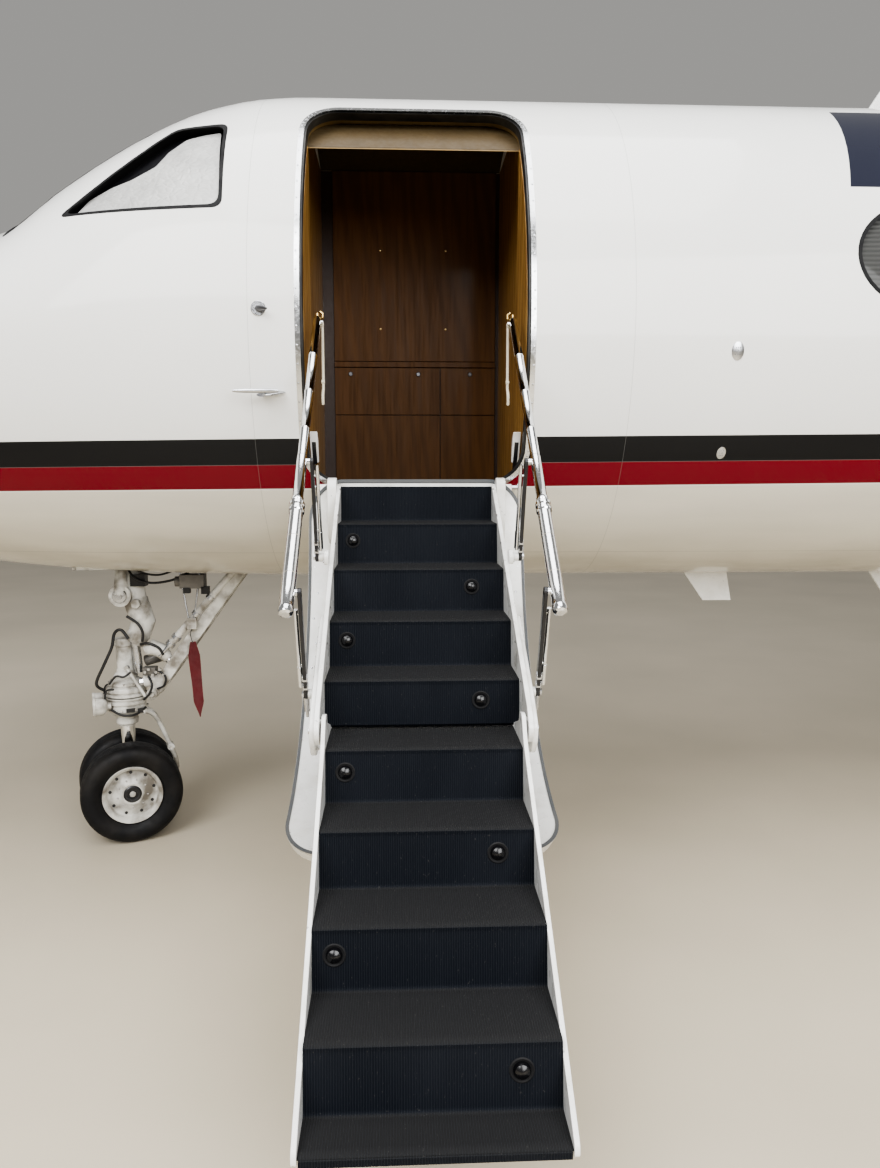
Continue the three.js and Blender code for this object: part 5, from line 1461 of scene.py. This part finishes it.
# Hoses of the nose leg: offsets from the gear's place, then the radius
NOSE_HOSES = [
    ([(-0.105, -0.050, 0.815), (-0.135, -0.080, 0.86), (-0.085, -0.085, 0.97), (-0.045, -0.075, 1.06),
      (-0.030, -0.066, 1.135), (0.008, -0.070, 1.155), (0.045, -0.068, 1.105)], 0.0085),
    ([(-0.060, -0.095, 0.86), (-0.02, -0.108, 0.905), (0.02, -0.098, 0.90), (0.055, -0.088, 0.925)], 0.006),
    ([(0.040, -0.066, 1.23), (0.10, -0.074, 1.19), (0.125, -0.074, 1.14), (0.118, -0.066, 1.09)], 0.0075),
    ([(0.110, -0.070, 1.075), (0.16, -0.098, 1.085), (0.215, -0.100, 1.06), (0.235, -0.092, 1.02)], 0.0075),
    ([(0.150, -0.090, 0.90), (0.175, -0.115, 0.86), (0.16, -0.118, 0.81), (0.125, -0.108, 0.775)], 0.0065),
    ([(0.205, -0.085, 0.93), (0.245, -0.100, 0.90), (0.235, -0.095, 0.85), (0.195, -0.088, 0.83)], 0.006),
    ([(0.050, -0.060, 1.50), (0.10, -0.085, 1.44), (0.19, -0.09, 1.415), (0.30, -0.08, 1.43),
      (0.38, -0.05, 1.47)], 0.0065),
    ([(0.055, -0.050, 1.53), (0.12, -0.070, 1.475), (0.22, -0.06, 1.455), (0.33, -0.05, 1.49)], 0.0055),
]
# Collars of the nose leg from the top down, as (radius, height)
LEG_COLLARS = [
    (0.050, 1.10), (0.054, 1.095), (0.054, 1.060), (0.046, 1.052), (0.044, 0.930), (0.047, 0.926),
    (0.047, 0.912), (0.056, 0.902), (0.066, 0.888), (0.060, 0.878), (0.082, 0.866), (0.094, 0.850),
    (0.094, 0.842), (0.086, 0.838), (0.104, 0.830), (0.1085, 0.822), (0.1085, 0.806), (0.099, 0.802),
    (0.099, 0.797), (0.110, 0.793), (0.111, 0.781),
]


def settle_gear(body, rows, turn=Matrix()):
    """Finishes the forms of one gear: form, name, look, slot, edge width and the nodes it replaces."""
    for form, name, look, slot, edge, replaced in rows:
        settle(form.moved(turn).object(name, look), body, bevel=edge, replaces=replaced)


def build_nose_leg():
    """The nose gear's fixed leg, its knuckle, actuators, hoses and clamps."""
    x = NOSE["x"]
    foot = (x, 0, 0)
    leg, metal_parts, black, grey = Form(), Form(), Form(), Form()
    leg.hose(trail(foot, (0.075, 0, 1.64), (0.072, 0, 1.52), (0.060, 0, 1.40), (0.075, 0, 1.32)),
             [0.060, 0.052, 0.060, 0.058], 32)
    leg.hose(trail(foot, (0.050, 0, 1.36), (0.085, 0, 1.27), (0.110, 0, 1.19), (0.085, 0, 1.12),
                   (0.055, 0, 1.085)), [0.056, 0.066, 0.066, 0.062, 0.058], 32)
    leg.rod((x + 0.03, -0.190, 1.605), (x + 0.03, 0.190, 1.605), 0.036, sides=28)
    for side in (-1, 1):
        leg.rod((x + 0.015, side * 0.02, 1.345), (x + 0.015, side * 0.092, 1.345), 0.060, sides=36)
        leg.hose(trail(foot, (0.03, side * 0.050, 1.60), (0.022, side * 0.066, 1.48),
                       (0.015, side * 0.070, 1.35)), [0.026, 0.030, 0.040], 20)
        knuckle = [(0.036, 0.0), (0.040, 0.004), (0.036, 0.009), (0.018, 0.010), (0.016, 0.016)]
        sleeve(metal_parts, (0, side, 0), (x + 0.015, side * 0.092, 1.345), knuckle, 36)
        leg.rod((x + 0.095, side * 0.055, 1.30), (x + 0.095, side * 0.088, 1.30), 0.026, sides=6)
    sleeve(leg, UP, (x, 0, 0), LEG_COLLARS, 72)
    for spin in around(12, 1 / 3):
        spot = Vector((x + 0.0885 * math.cos(spin), 0.0885 * math.sin(spin), 0.846))
        metal_parts.rod(spot, spot + UP * 0.012, 0.0075, sides=6)
    leg.rod((x + 0.030, -0.075, 0.945), (x + 0.135, -0.105, 0.790), 0.0085, sides=14)
    sleeve(metal_parts, (0, -1, 0), (x + 0.030, -0.072, 0.945), [(0.014, -0.01), (0.014, 0.012)], 20)

    body = Vector((x + 0.190, -0.055, 1.000))
    leg.hose(trail(body, (-0.055, 0, 0.035), (-0.02, 0, 0.055), (0.03, 0, 0.035), (0.062, 0, -0.01)),
             [0.030, 0.044, 0.042, 0.028], 28)
    leg.rod((x + 0.120, -0.050, 0.865), (x + 0.205, -0.050, 0.880), 0.036, 0.030, 28)
    for form, start, end, radius, sides in (
        (metal_parts, (0.062, -0.02, 1.16), (0.080, -0.02, 0.91), 0.024, 28),
        (metal_parts, (0.066, -0.02, 1.10), (0.069, -0.02, 1.06), 0.029, 28),
        (metal_parts, (0.240, -0.055, 1.0), (0.275, -0.055, 0.965), 0.020, 24),
        (metal_parts, (0.205, -0.050, 0.880), (0.238, -0.050, 0.886), 0.022, 24),
        (metal_parts, (0.096, -0.050, 0.860), (0.122, -0.050, 0.865), 0.024, 8),
        (metal_parts, (0.33, -0.085, 1.52), (0.385, -0.105, 1.20), 0.0055, 12),
        (metal_parts, (0.45, -0.085, 1.50), (0.410, -0.105, 1.20), 0.0055, 12),
        (grey, (0.100, 0.045, 0.960), (0.205, 0.045, 0.990), 0.030, 24),
        (grey, (0.31, -0.07, 1.42), (0.34, -0.07, 1.42), 0.028, 24),
    ):
        form.rod(*trail(foot, start, end), radius, sides=sides)
    for form, low, high in (
        (grey, (0.115, -0.078, 0.905), (0.185, -0.020, 0.945)),
        (grey, (0.34, -0.110, 1.385), (0.47, -0.030, 1.46)),
        (black, (0.070, -0.080, 1.395), (0.150, -0.020, 1.46)),
        (black, (0.36, -0.115, 1.36), (0.395, -0.080, 1.39)),
        (black, (0.455, -0.110, 1.355), (0.495, -0.07, 1.395)),
        (leg, (0.375, -0.118, 1.165), (0.425, -0.088, 1.225)),
    ):
        form.box(*trail(foot, low, high))
    for k in range(6):
        spot = Vector((x + 0.135 + 0.020 * k, -0.088, 0.925 + 0.018 * math.sin(2.1 * k)))
        metal_parts.rod(spot, spot + Vector((0, -0.014, 0)), 0.0085, sides=6)
    for offsets, radius in NOSE_HOSES:
        black.hose(curve(trail(foot, *offsets)), radius)
    settle_gear("airframe", (
        (leg, "nose_leg_castings", "gear", "gear_metal", 0.0018, ["nose_leg"]),
        (metal_parts, "nose_leg_fittings", "steel", "bright_metal", 0.0, ()),
        (grey, "nose_leg_boxes", "dark_gear", "gear_metal", 0.0018, ()),
        (black, "nose_leg_hoses", "hose", "black_rubber", 0.0, ())))


def build_nose_brace():
    """The nose gear's drag brace with its cross tubes, and the strut beside it."""
    x = NOSE["x"]
    foot, head = Vector((x + 0.165, 0, 0.800)), Vector((-10.04, 0, 1.610))
    run = (head - foot).normalized()
    across = Vector((-run.z, 0, run.x))
    spine = [(foot.lerp(head, share), wide) for share, wide in (
        (-0.035, 0.020), (0.0, 0.030), (0.10, 0.033), (0.95, 0.030), (1.0, 0.022))]
    outline = [tuple((p + across * w).zx) for p, w in spine]
    outline += [tuple((p - across * w).zx) for p, w in reversed(spine)]
    brace, rods = Form(), Form()
    for side in (-1, 1):
        brace.prism("y", outline, side * 0.062 - 0.016, side * 0.062 + 0.016)
        brace.rod(*trail(foot, (0, side * 0.030, 0), (0, side * 0.092, 0)), 0.030, sides=32)
        rods.rod(*trail(foot, (0, side * 0.090, 0), (0, side * 0.100, 0)), 0.016, sides=6)
    for spot, half, radius, sides in ((head, 0.190, 0.026, 28), (foot.lerp(head, 0.30), 0.05, 0.016, 20),
                                      (foot.lerp(head, 0.62), 0.05, 0.016, 20)):
        brace.rod(*trail(spot, (0, -half, 0), (0, half, 0)), radius, sides=sides)
    low, high = Vector((x + 0.215, -0.085, 1.010)), Vector((x + 0.70, -0.085, 1.560))
    lift = (high - low).normalized()
    brace.rod(low + lift * 0.08, high, 0.019, sides=28)
    rods.rod(low, low + lift * 0.12, 0.011)
    for place in (0.08, 0.13, 0.30, 0.42):
        rods.rod(low + lift * place, low + lift * (place + 0.022), 0.026, sides=28)
    settle_gear("airframe", (
        (brace, "nose_drag_brace", "gear", "gear_metal", 0.003, ["nose_brace"]),
        (rods, "nose_brace_fittings", "steel", "bright_metal", 0.001, ())))


def curve(points, steps=6):
    """A smooth path through points."""
    path = []
    for k in range(len(points) - 1):
        before, a, b = points[max(k - 1, 0)], points[k], points[k + 1]
        after = points[min(k + 2, len(points) - 1)]
        for s in range(steps):
            t = s / steps
            path.append(0.5 * ((2 * a) + (b - before) * t + (2 * before - 5 * a + 4 * b - after) * t**2
                               + (3 * a - before - 3 * b + after) * t**3))
    return [*path, points[-1]]


# Steered collars from the top down, as (radius, height), the torque links' sides as offsets (X, Z) from the
# gear's place, and the lamps' turned shapes
STEER_COLLARS = [
    (0.030, 0.845), (0.030, 0.7755), (0.1085, 0.7735), (0.1095, 0.766), (0.099, 0.762), (0.099, 0.757),
    (0.107, 0.753), (0.107, 0.738), (0.098, 0.734), (0.098, 0.729), (0.104, 0.725), (0.104, 0.700),
    (0.095, 0.690), (0.078, 0.672), (0.060, 0.664), (0.056, 0.652), (0.060, 0.648), (0.060, 0.622),
    (0.046, 0.616), (0.044, 0.606),
]
NOSE_LINKS = (((0.080, 0.690), (0.150, 0.640), (0.225, 0.460)),
              ((0.225, 0.455), (0.250, 0.380), (0.235, 0.300), (0.060, 0.262)))
LAMP_BODY = [(0.026, 0.0), (0.040, 0.012), (0.047, 0.026), (0.048, 0.058), (0.051, 0.060), (0.051, 0.072),
             (0.047, 0.074), (0.044, 0.070), (0.042, 0.058)]
LAMP_GLASS = [(0.0, 0.060), (0.041, 0.0595), (0.041, 0.064), (0.030, 0.070), (0.0, 0.073)]


def build_nose_steering():
    """The steered part: lower ribbed collar, lamps, chrome piston, torque links, fork and wheels."""
    x = NOSE["x"]
    foot = (x, 0, 0)
    steer, chrome, lamps, black = Form(), Form(), Form(), Form()
    sleeve(steer, UP, foot, STEER_COLLARS, 72)
    sleeve(chrome, UP, foot, [(0.0385, 0.612), (0.0385, 0.345), (0.036, 0.335)], 48)
    steer.hose(trail(foot, (0, 0, 0.360), (0, 0, 0.335), (0, 0, 0.267), (0, 0, 0.225)),
               [0.043, 0.050, 0.052, 0.034], 32)
    for side in (-1, 1):
        steer.rod((x, side * 0.025, 0.267), (x, side * 0.098, 0.267), 0.040, 0.030, 32)
        base = Vector((x - 0.085, side * 0.066, 0.738))
        steer.rod(*trail(base, (0, 0, 0), (-0.028, 0, 0)), 0.020)
        socket = base + Vector((-0.020, 0, 0))
        sleeve(steer, (-1, 0, 0), socket, LAMP_BODY, 44)
        lamps.lathe((-1, 0, 0), socket, LAMP_GLASS, 40)
        black.hose(curve(trail(base, (-0.030, 0.0, 0.040), (-0.020, 0, 0.085), (0.015, -0.01, 0.090),
                               (0.030, -0.015, 0.070))), 0.0055, 10)
    for points in NOSE_LINKS:
        for side in (-1, 1):
            path = trail(foot, *[(a, side * (0.045 - 0.02 * k), c) for k, (a, c) in enumerate(points)])
            steer.hose(curve(path), 0.0125, 16)
    for a, c, half in ((0.080, 0.690, 0.060), (0.225, 0.458, 0.038), (0.060, 0.262, 0.050)):
        steer.rod((x + a, -half, c), (x + a, half, c), 0.020, sides=24)
        chrome.rod((x + a, -half - 0.010, c), (x + a, half + 0.010, c), 0.009, sides=6)
    steer.box((x + 0.080, -0.014, 0.672), (x + 0.110, 0.014, 0.706))
    black.hose(curve(trail(foot, (-0.085, -0.070, 0.715), (-0.030, -0.112, 0.690), (0.040, -0.108, 0.688),
                           (0.095, -0.075, 0.715))), 0.0065)
    black.box((x - 0.010, -0.112, 0.702), (x + 0.036, -0.100, 0.722))
    black.box((x + 0.050, -0.100, 0.690), (x + 0.080, -0.078, 0.715))
    for spin in around(10):
        out = Vector((math.cos(spin), math.sin(spin), 0))
        spot = Vector((x, 0, 0.712)) + out * 0.1045
        chrome.rod(spot, spot + out * 0.010, 0.006, sides=6)
    settle_gear("nose_steering", (
        (steer, "nose_steering_body", "gear", "gear_metal", 0.0012, ["nose_steering"]),
        (chrome, "nose_piston", "chrome", "bright_metal", 0.0, ()),
        (lamps, "nose_lamps", "lamp", "bright_metal", 0.0, ()),
        (black, "nose_steering_hoses", "hose", "black_rubber", 0.0, ())), NOSE_TURN)
    wheel_set("nose_wheels", (x, 0, NOSE["radius"]), NOSE, NOSE_TURN,
              {"tyres": ["nose_tyre_port", "nose_tyre_starboard"], "wheels": ["nose_wheels"]})


# Collars of a main leg and its axle housing, as (radius, height), and its torque links from the leg
MAIN_COLLARS = [(0.095, 1.62), (0.095, 1.43), (0.088, 1.41), (0.088, 0.98), (0.102, 0.965), (0.102, 0.93),
                (0.094, 0.92), (0.094, 0.90), (0.104, 0.89), (0.104, 0.845), (0.080, 0.83)]
AXLE_HOUSING = [(0.066, 0.56), (0.084, 0.54), (0.086, 0.40), (0.070, 0.345)]
MAIN_LINKS = (((0.095, 0.905), (0.165, 0.90), (0.205, 0.77), (0.215, 0.72)),
              ((0.215, 0.71), (0.200, 0.60), (0.150, 0.52), (0.070, 0.47)))


def build_main_gear():
    """Main legs with their chrome pistons, torque links, braces, hoses and doors."""
    for name, side in (("port", -1), ("starboard", 1)):
        x, y, z = MAIN["x"], side * MAIN["y"], MAIN["radius"]
        foot = (x, y, 0)
        leg, shiny, black, door = Form(), Form(), Form(), Form()
        sleeve(leg, UP, foot, MAIN_COLLARS, 56)
        sleeve(shiny, UP, foot, [(0.058, 0.84), (0.058, 0.545)], 48)
        sleeve(leg, UP, foot, AXLE_HOUSING, 48)
        leg.rod((x, y - 0.115, z), (x, y + 0.115, z), 0.070, sides=40)
        for points in MAIN_LINKS:
            for shift in (-0.036, 0.036):
                leg.hose(curve(trail(foot, *[(a, shift, c) for a, c in points])), 0.0165, 16)
        for a, c in ((0.100, 0.905), (0.215, 0.715), (0.078, 0.470)):
            leg.rod((x + a, y - 0.062, c), (x + a, y + 0.062, c), 0.024, sides=24)
            shiny.rod((x + a, y - 0.072, c), (x + a, y + 0.072, c), 0.010, sides=6)
        leg.hose(trail(foot, (0.06, 0, 1.33), (0.12, 0, 1.40), (0.16, 0, 1.62)), [0.040, 0.046, 0.040], 24)
        leg.rod((x + 0.02, y - side * 0.06, 1.20), (x + 0.02, y - side * 0.60, 1.60), 0.040, 0.034, 28)
        leg.rod((x + 0.02, y - side * 0.10, 1.23), (x + 0.02, y - side * 0.10, 1.17), 0.048, sides=28)
        for height in (1.20, 0.95):
            leg.rod((x, y, height), (x, y + side * 0.112, height), 0.026, sides=24)
        for turn in (0.4, 2.2):
            start = Vector((x + 0.108 * math.cos(turn), y - side * 0.108 * math.sin(turn), 1.45))
            black.hose(curve(trail(start, (0, 0, 0), (0, 0, -0.35), (0.02, 0, -0.56), (0.06, 0, -0.72),
                                   (0.03, 0, -0.90))), 0.009)
            for height in (1.40, 1.18, 1.02):
                shiny.box((start.x - 0.012, start.y - 0.012, height),
                          (start.x + 0.012, start.y + 0.012, height + 0.014))
        outline = [(0.820, x - 0.190), (0.820, x + 0.190), (1.430, x + 0.190), (1.430, x - 0.190)]
        door.prism("y", softened(outline, 0.06), y + side * 0.102, y + side * 0.126)
        prefix = "main_leg_" + name
        settle_gear("airframe", (
            (leg, prefix + "_castings", "gear", "gear_metal", 0.003, [prefix]),
            (shiny, prefix + "_piston", "chrome", "bright_metal", 0.0, ()),
            (black, prefix + "_hoses", "hose", "black_rubber", 0.0, ()),
            (door, prefix + "_door", "white", "white_paint", 0.006, ())))
        wheel_set("main_wheels_" + name, (x, y, z), MAIN, Matrix(),
                  {"tyres": [f"main_tyre_{name}_a", f"main_tyre_{name}_b"],
                   "wheels": ["main_wheels_" + name]})


STREAMER = {"rows": 28, "length": 0.42, "half": 0.030}


def build_streamer():
    """A plain red flag that hangs from the nose gear's lock pin."""
    top = Vector((NOSE["x"] + 0.402, -0.104, 1.150))
    cord = Form().hose(curve(trail(top, (0, 0, 0.02), (-0.012, -0.004, -0.01), (-0.006, -0.006, -0.045),
                                   (0.0, -0.006, -0.06))), 0.0022, 8)
    settle(cord.object("pin_cord", "hose"), "airframe")
    rows = STREAMER["rows"]
    verts = []
    for k in range(rows + 1):
        share = k / rows
        taper = 1.0 if share < 0.80 else max(0.06, (1 - share) / 0.20)
        wide = STREAMER["half"] * min(1.0, 0.45 + 3.0 * share) * taper
        sway = 0.012 * math.sin(3.0 * share) + 0.045 * share * share
        curl = 0.010 * math.sin(6.0 * share + 0.6)
        for a in (-1, -0.33, 0.33, 1):
            across = (sway + a * wide * 0.93 - 0.02 * share, -0.006 + curl * a + a * wide * 0.25)
            verts.append(top + Vector((*across, -0.055 - STREAMER["length"] * share)))
    quads = [(a, a + 1, a + 5, a + 4) for k in range(rows) for a in range(4 * k, 4 * k + 3)]
    mesh = bpy.data.meshes.new("red_streamer")
    mesh.from_pydata(verts, [], quads)
    mesh.materials.append(finish("red_cloth"))
    flag = bpy.data.objects.new("red_streamer", mesh)
    bpy.context.scene.collection.objects.link(flag)
    flag.data.shade_smooth()
    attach(flag, "airframe")


# Plain finishes on the solids that keep their shape


def dress_solids():
    """Gives each node of the frame that still shows the finish of its slot."""
    looks = {"white_paint": "white", "white_composite": "white", "bright_metal": "frame_metal",
             "gear_metal": "gear", "black_rubber": "seal", "tyre": "tyre", "foil": "foil", "shade": "pleats",
             "wood": "far_wood", "engine_metal": "engine"}
    for part in frame["record"]["subparts"]:
        node = frame["nodes"][part["node"]]
        if node.hide_render:
            continue
        if not node.material_slots:
            node.data.materials.append(finish(looks[part["material_slot"]]))
        for slot in node.material_slots:
            slot.material = finish(looks[part["material_slot"]])


# Stage

CAMERA = {"place": (-9.27, -4.86, 1.995), "yaw": 2.6, "pitch": -7.1, "lens": 878 / 1168 * 36}


def build_stage():
    """Floor, world light, three area lights and the camera of the photograph."""
    scene = bpy.context.scene
    floor = Form().box((-90, -90, -0.05), (90, 90, 0.0)).object("studio_floor", "floor")
    world = bpy.data.worlds.new("studio_light")
    world.use_nodes = True
    light = world.node_tree.nodes["Background"]
    light.inputs["Color"].default_value = (1.0, 0.985, 0.95, 1)
    light.inputs["Strength"].default_value = 0.32
    scene.world = world
    scene.view_settings.look = "AgX - Medium High Contrast"
    for name, place, target, size, power in (
        ("key_light", (-14.0, -10.0, 9.0), (-9.5, -1.2, 2.0), 7.0, 1350),
        ("fill_light", (-5.5, -10.0, 5.5), (-9.0, -1.2, 2.0), 6.0, 980),
        ("top_light", (-9.0, -3.0, 11.0), (-9.0, -2.0, 0.0), 8.0, 950),
    ):
        lamp = bpy.data.lights.new(name, "AREA")
        lamp.size = size
        lamp.energy = power
        holder = bpy.data.objects.new(name, lamp)
        holder.location = place
        holder.rotation_euler = (Vector(target) - Vector(place)).to_track_quat("-Z", "Y").to_euler()
        scene.collection.objects.link(holder)
    camera = bpy.data.cameras.new("camera")
    camera.lens = CAMERA["lens"]
    camera.sensor_width = 36
    camera.clip_end = 500
    holder = bpy.data.objects.new("camera", camera)
    holder.location = CAMERA["place"]
    holder.rotation_euler = (math.radians(90 + CAMERA["pitch"]), 0, math.radians(-CAMERA["yaw"]))
    scene.collection.objects.link(holder)
    scene.camera = holder


# The add-on's settings, operators and panel


def colour(name, description, default):
    """A colour setting."""
    return bpy.props.FloatVectorProperty(name=name, description=description, default=default,
                                         size=3, min=0, max=1, subtype="COLOR")


def height(name, description, default):
    """A length setting."""
    return bpy.props.FloatProperty(name=name, description=description, default=default, unit="LENGTH")


class JetColours(bpy.types.PropertyGroup):
    white: colour("White", "Upper paint", (0.80, 0.80, 0.78))
    cream: colour("Cream", "Paint under the red line", (0.66, 0.63, 0.55))
    black: colour("Black line", "Upper line along the side", (0.004, 0.0045, 0.006))
    red: colour("Red line", "Lower line along the side", (0.15, 0.0015, 0.009))
    block: colour("Dark block", "Plain block aft of the door", (0.020, 0.022, 0.035))
    wood_light: colour("Light wood", "Side walls of the entry", (0.40, 0.235, 0.075))
    wood_dark: colour("Dark wood", "Far wall of the entry", (0.105, 0.043, 0.008))
    red_low: height("Red line foot", "Height of the red line's lower edge at the door", 1.939)
    red_high: height("Red line top", "Height where red meets black", 2.042)
    black_high: height("Black line top", "Height of the black line's upper edge", 2.151)


class JET_OT_stage(bpy.types.Operator):
    """Floor, light and the camera of the photograph"""

    bl_idname = "jet.stage"
    bl_label = "Stage"

    def execute(self, context):
        build_stage()
        return {"FINISHED"}


class JET_OT_hull(bpy.types.Operator):
    """Painted skin with its openings and the nose gear's bay"""

    bl_idname = "jet.hull"
    bl_label = "Fuselage"

    def execute(self, context):
        build_hull()
        build_nose_bay()
        return {"FINISHED"}


class JET_OT_glazing(bpy.types.Operator):
    """Seals, foil sunshades and cabin blinds"""

    bl_idname = "jet.glazing"
    bl_label = "Windows"

    def execute(self, context):
        build_glazing()
        return {"FINISHED"}


class JET_OT_entry(bpy.types.Operator):
    """Door frame, hinge housings and the room inside"""

    bl_idname = "jet.entry"
    bl_label = "Entry"

    def execute(self, context):
        build_door_frame()
        build_housings()
        build_room()
        return {"FINISHED"}


class JET_OT_airstair(bpy.types.Operator):
    """Door panel, steps and side plates"""

    bl_idname = "jet.airstair"
    bl_label = "Airstair"

    def execute(self, context):
        build_door_panel()
        build_steps()
        build_stair_fairings()
        return {"FINISHED"}


class JET_OT_handrails(bpy.types.Operator):
    """Telescoping rails and the arms that carry them"""

    bl_idname = "jet.handrails"
    bl_label = "Handrails"

    def execute(self, context):
        build_rails()
        build_arms()
        return {"FINISHED"}


class JET_OT_fittings(bpy.types.Operator):
    """Flow vane, probe, pressure ports and drains"""

    bl_idname = "jet.fittings"
    bl_label = "Fittings"

    def execute(self, context):
        build_fittings()
        return {"FINISHED"}


class JET_OT_nose_gear(bpy.types.Operator):
    """Leg, brace, steered part, wheels, hoses, lamps and streamer"""

    bl_idname = "jet.nose_gear"
    bl_label = "Nose gear"

    def execute(self, context):
        build_nose_leg()
        build_nose_brace()
        build_nose_steering()
        build_streamer()
        return {"FINISHED"}


class JET_OT_main_gear(bpy.types.Operator):
    """Legs, doors and wheels under the wings"""

    bl_idname = "jet.main_gear"
    bl_label = "Main gear"

    def execute(self, context):
        build_main_gear()
        return {"FINISHED"}


class JET_OT_solids(bpy.types.Operator):
    """Finishes on solids that keep their shape"""

    bl_idname = "jet.solids"
    bl_label = "Solids"

    def execute(self, context):
        dress_solids()
        return {"FINISHED"}


OPERATORS = [JET_OT_stage, JET_OT_hull, JET_OT_glazing, JET_OT_entry, JET_OT_airstair, JET_OT_handrails,
             JET_OT_fittings, JET_OT_nose_gear, JET_OT_main_gear, JET_OT_solids]


class JET_PT_panel(bpy.types.Panel):
    """Builds the jet's finished surfaces piece by piece"""

    bl_label = "Business Jet"
    bl_idname = "JET_PT_panel"
    bl_space_type = "VIEW_3D"
    bl_region_type = "UI"
    bl_category = "Jet"

    def draw(self, context):
        for name in JetColours.__annotations__:
            self.layout.prop(context.scene.jet_colours, name)
        for kind in OPERATORS:
            self.layout.operator(kind.bl_idname)


CLASSES = [JetColours, *OPERATORS, JET_PT_panel]


def register():
    for kind in CLASSES:
        bpy.utils.register_class(kind)
    bpy.types.Scene.jet_colours = bpy.props.PointerProperty(type=JetColours)


def unregister():
    del bpy.types.Scene.jet_colours
    for kind in reversed(CLASSES):
        bpy.utils.unregister_class(kind)


def main():
    register()
    for kind in OPERATORS:
        getattr(bpy.ops.jet, kind.bl_idname.split(".")[1])()


if __name__ == "__main__":
    main()
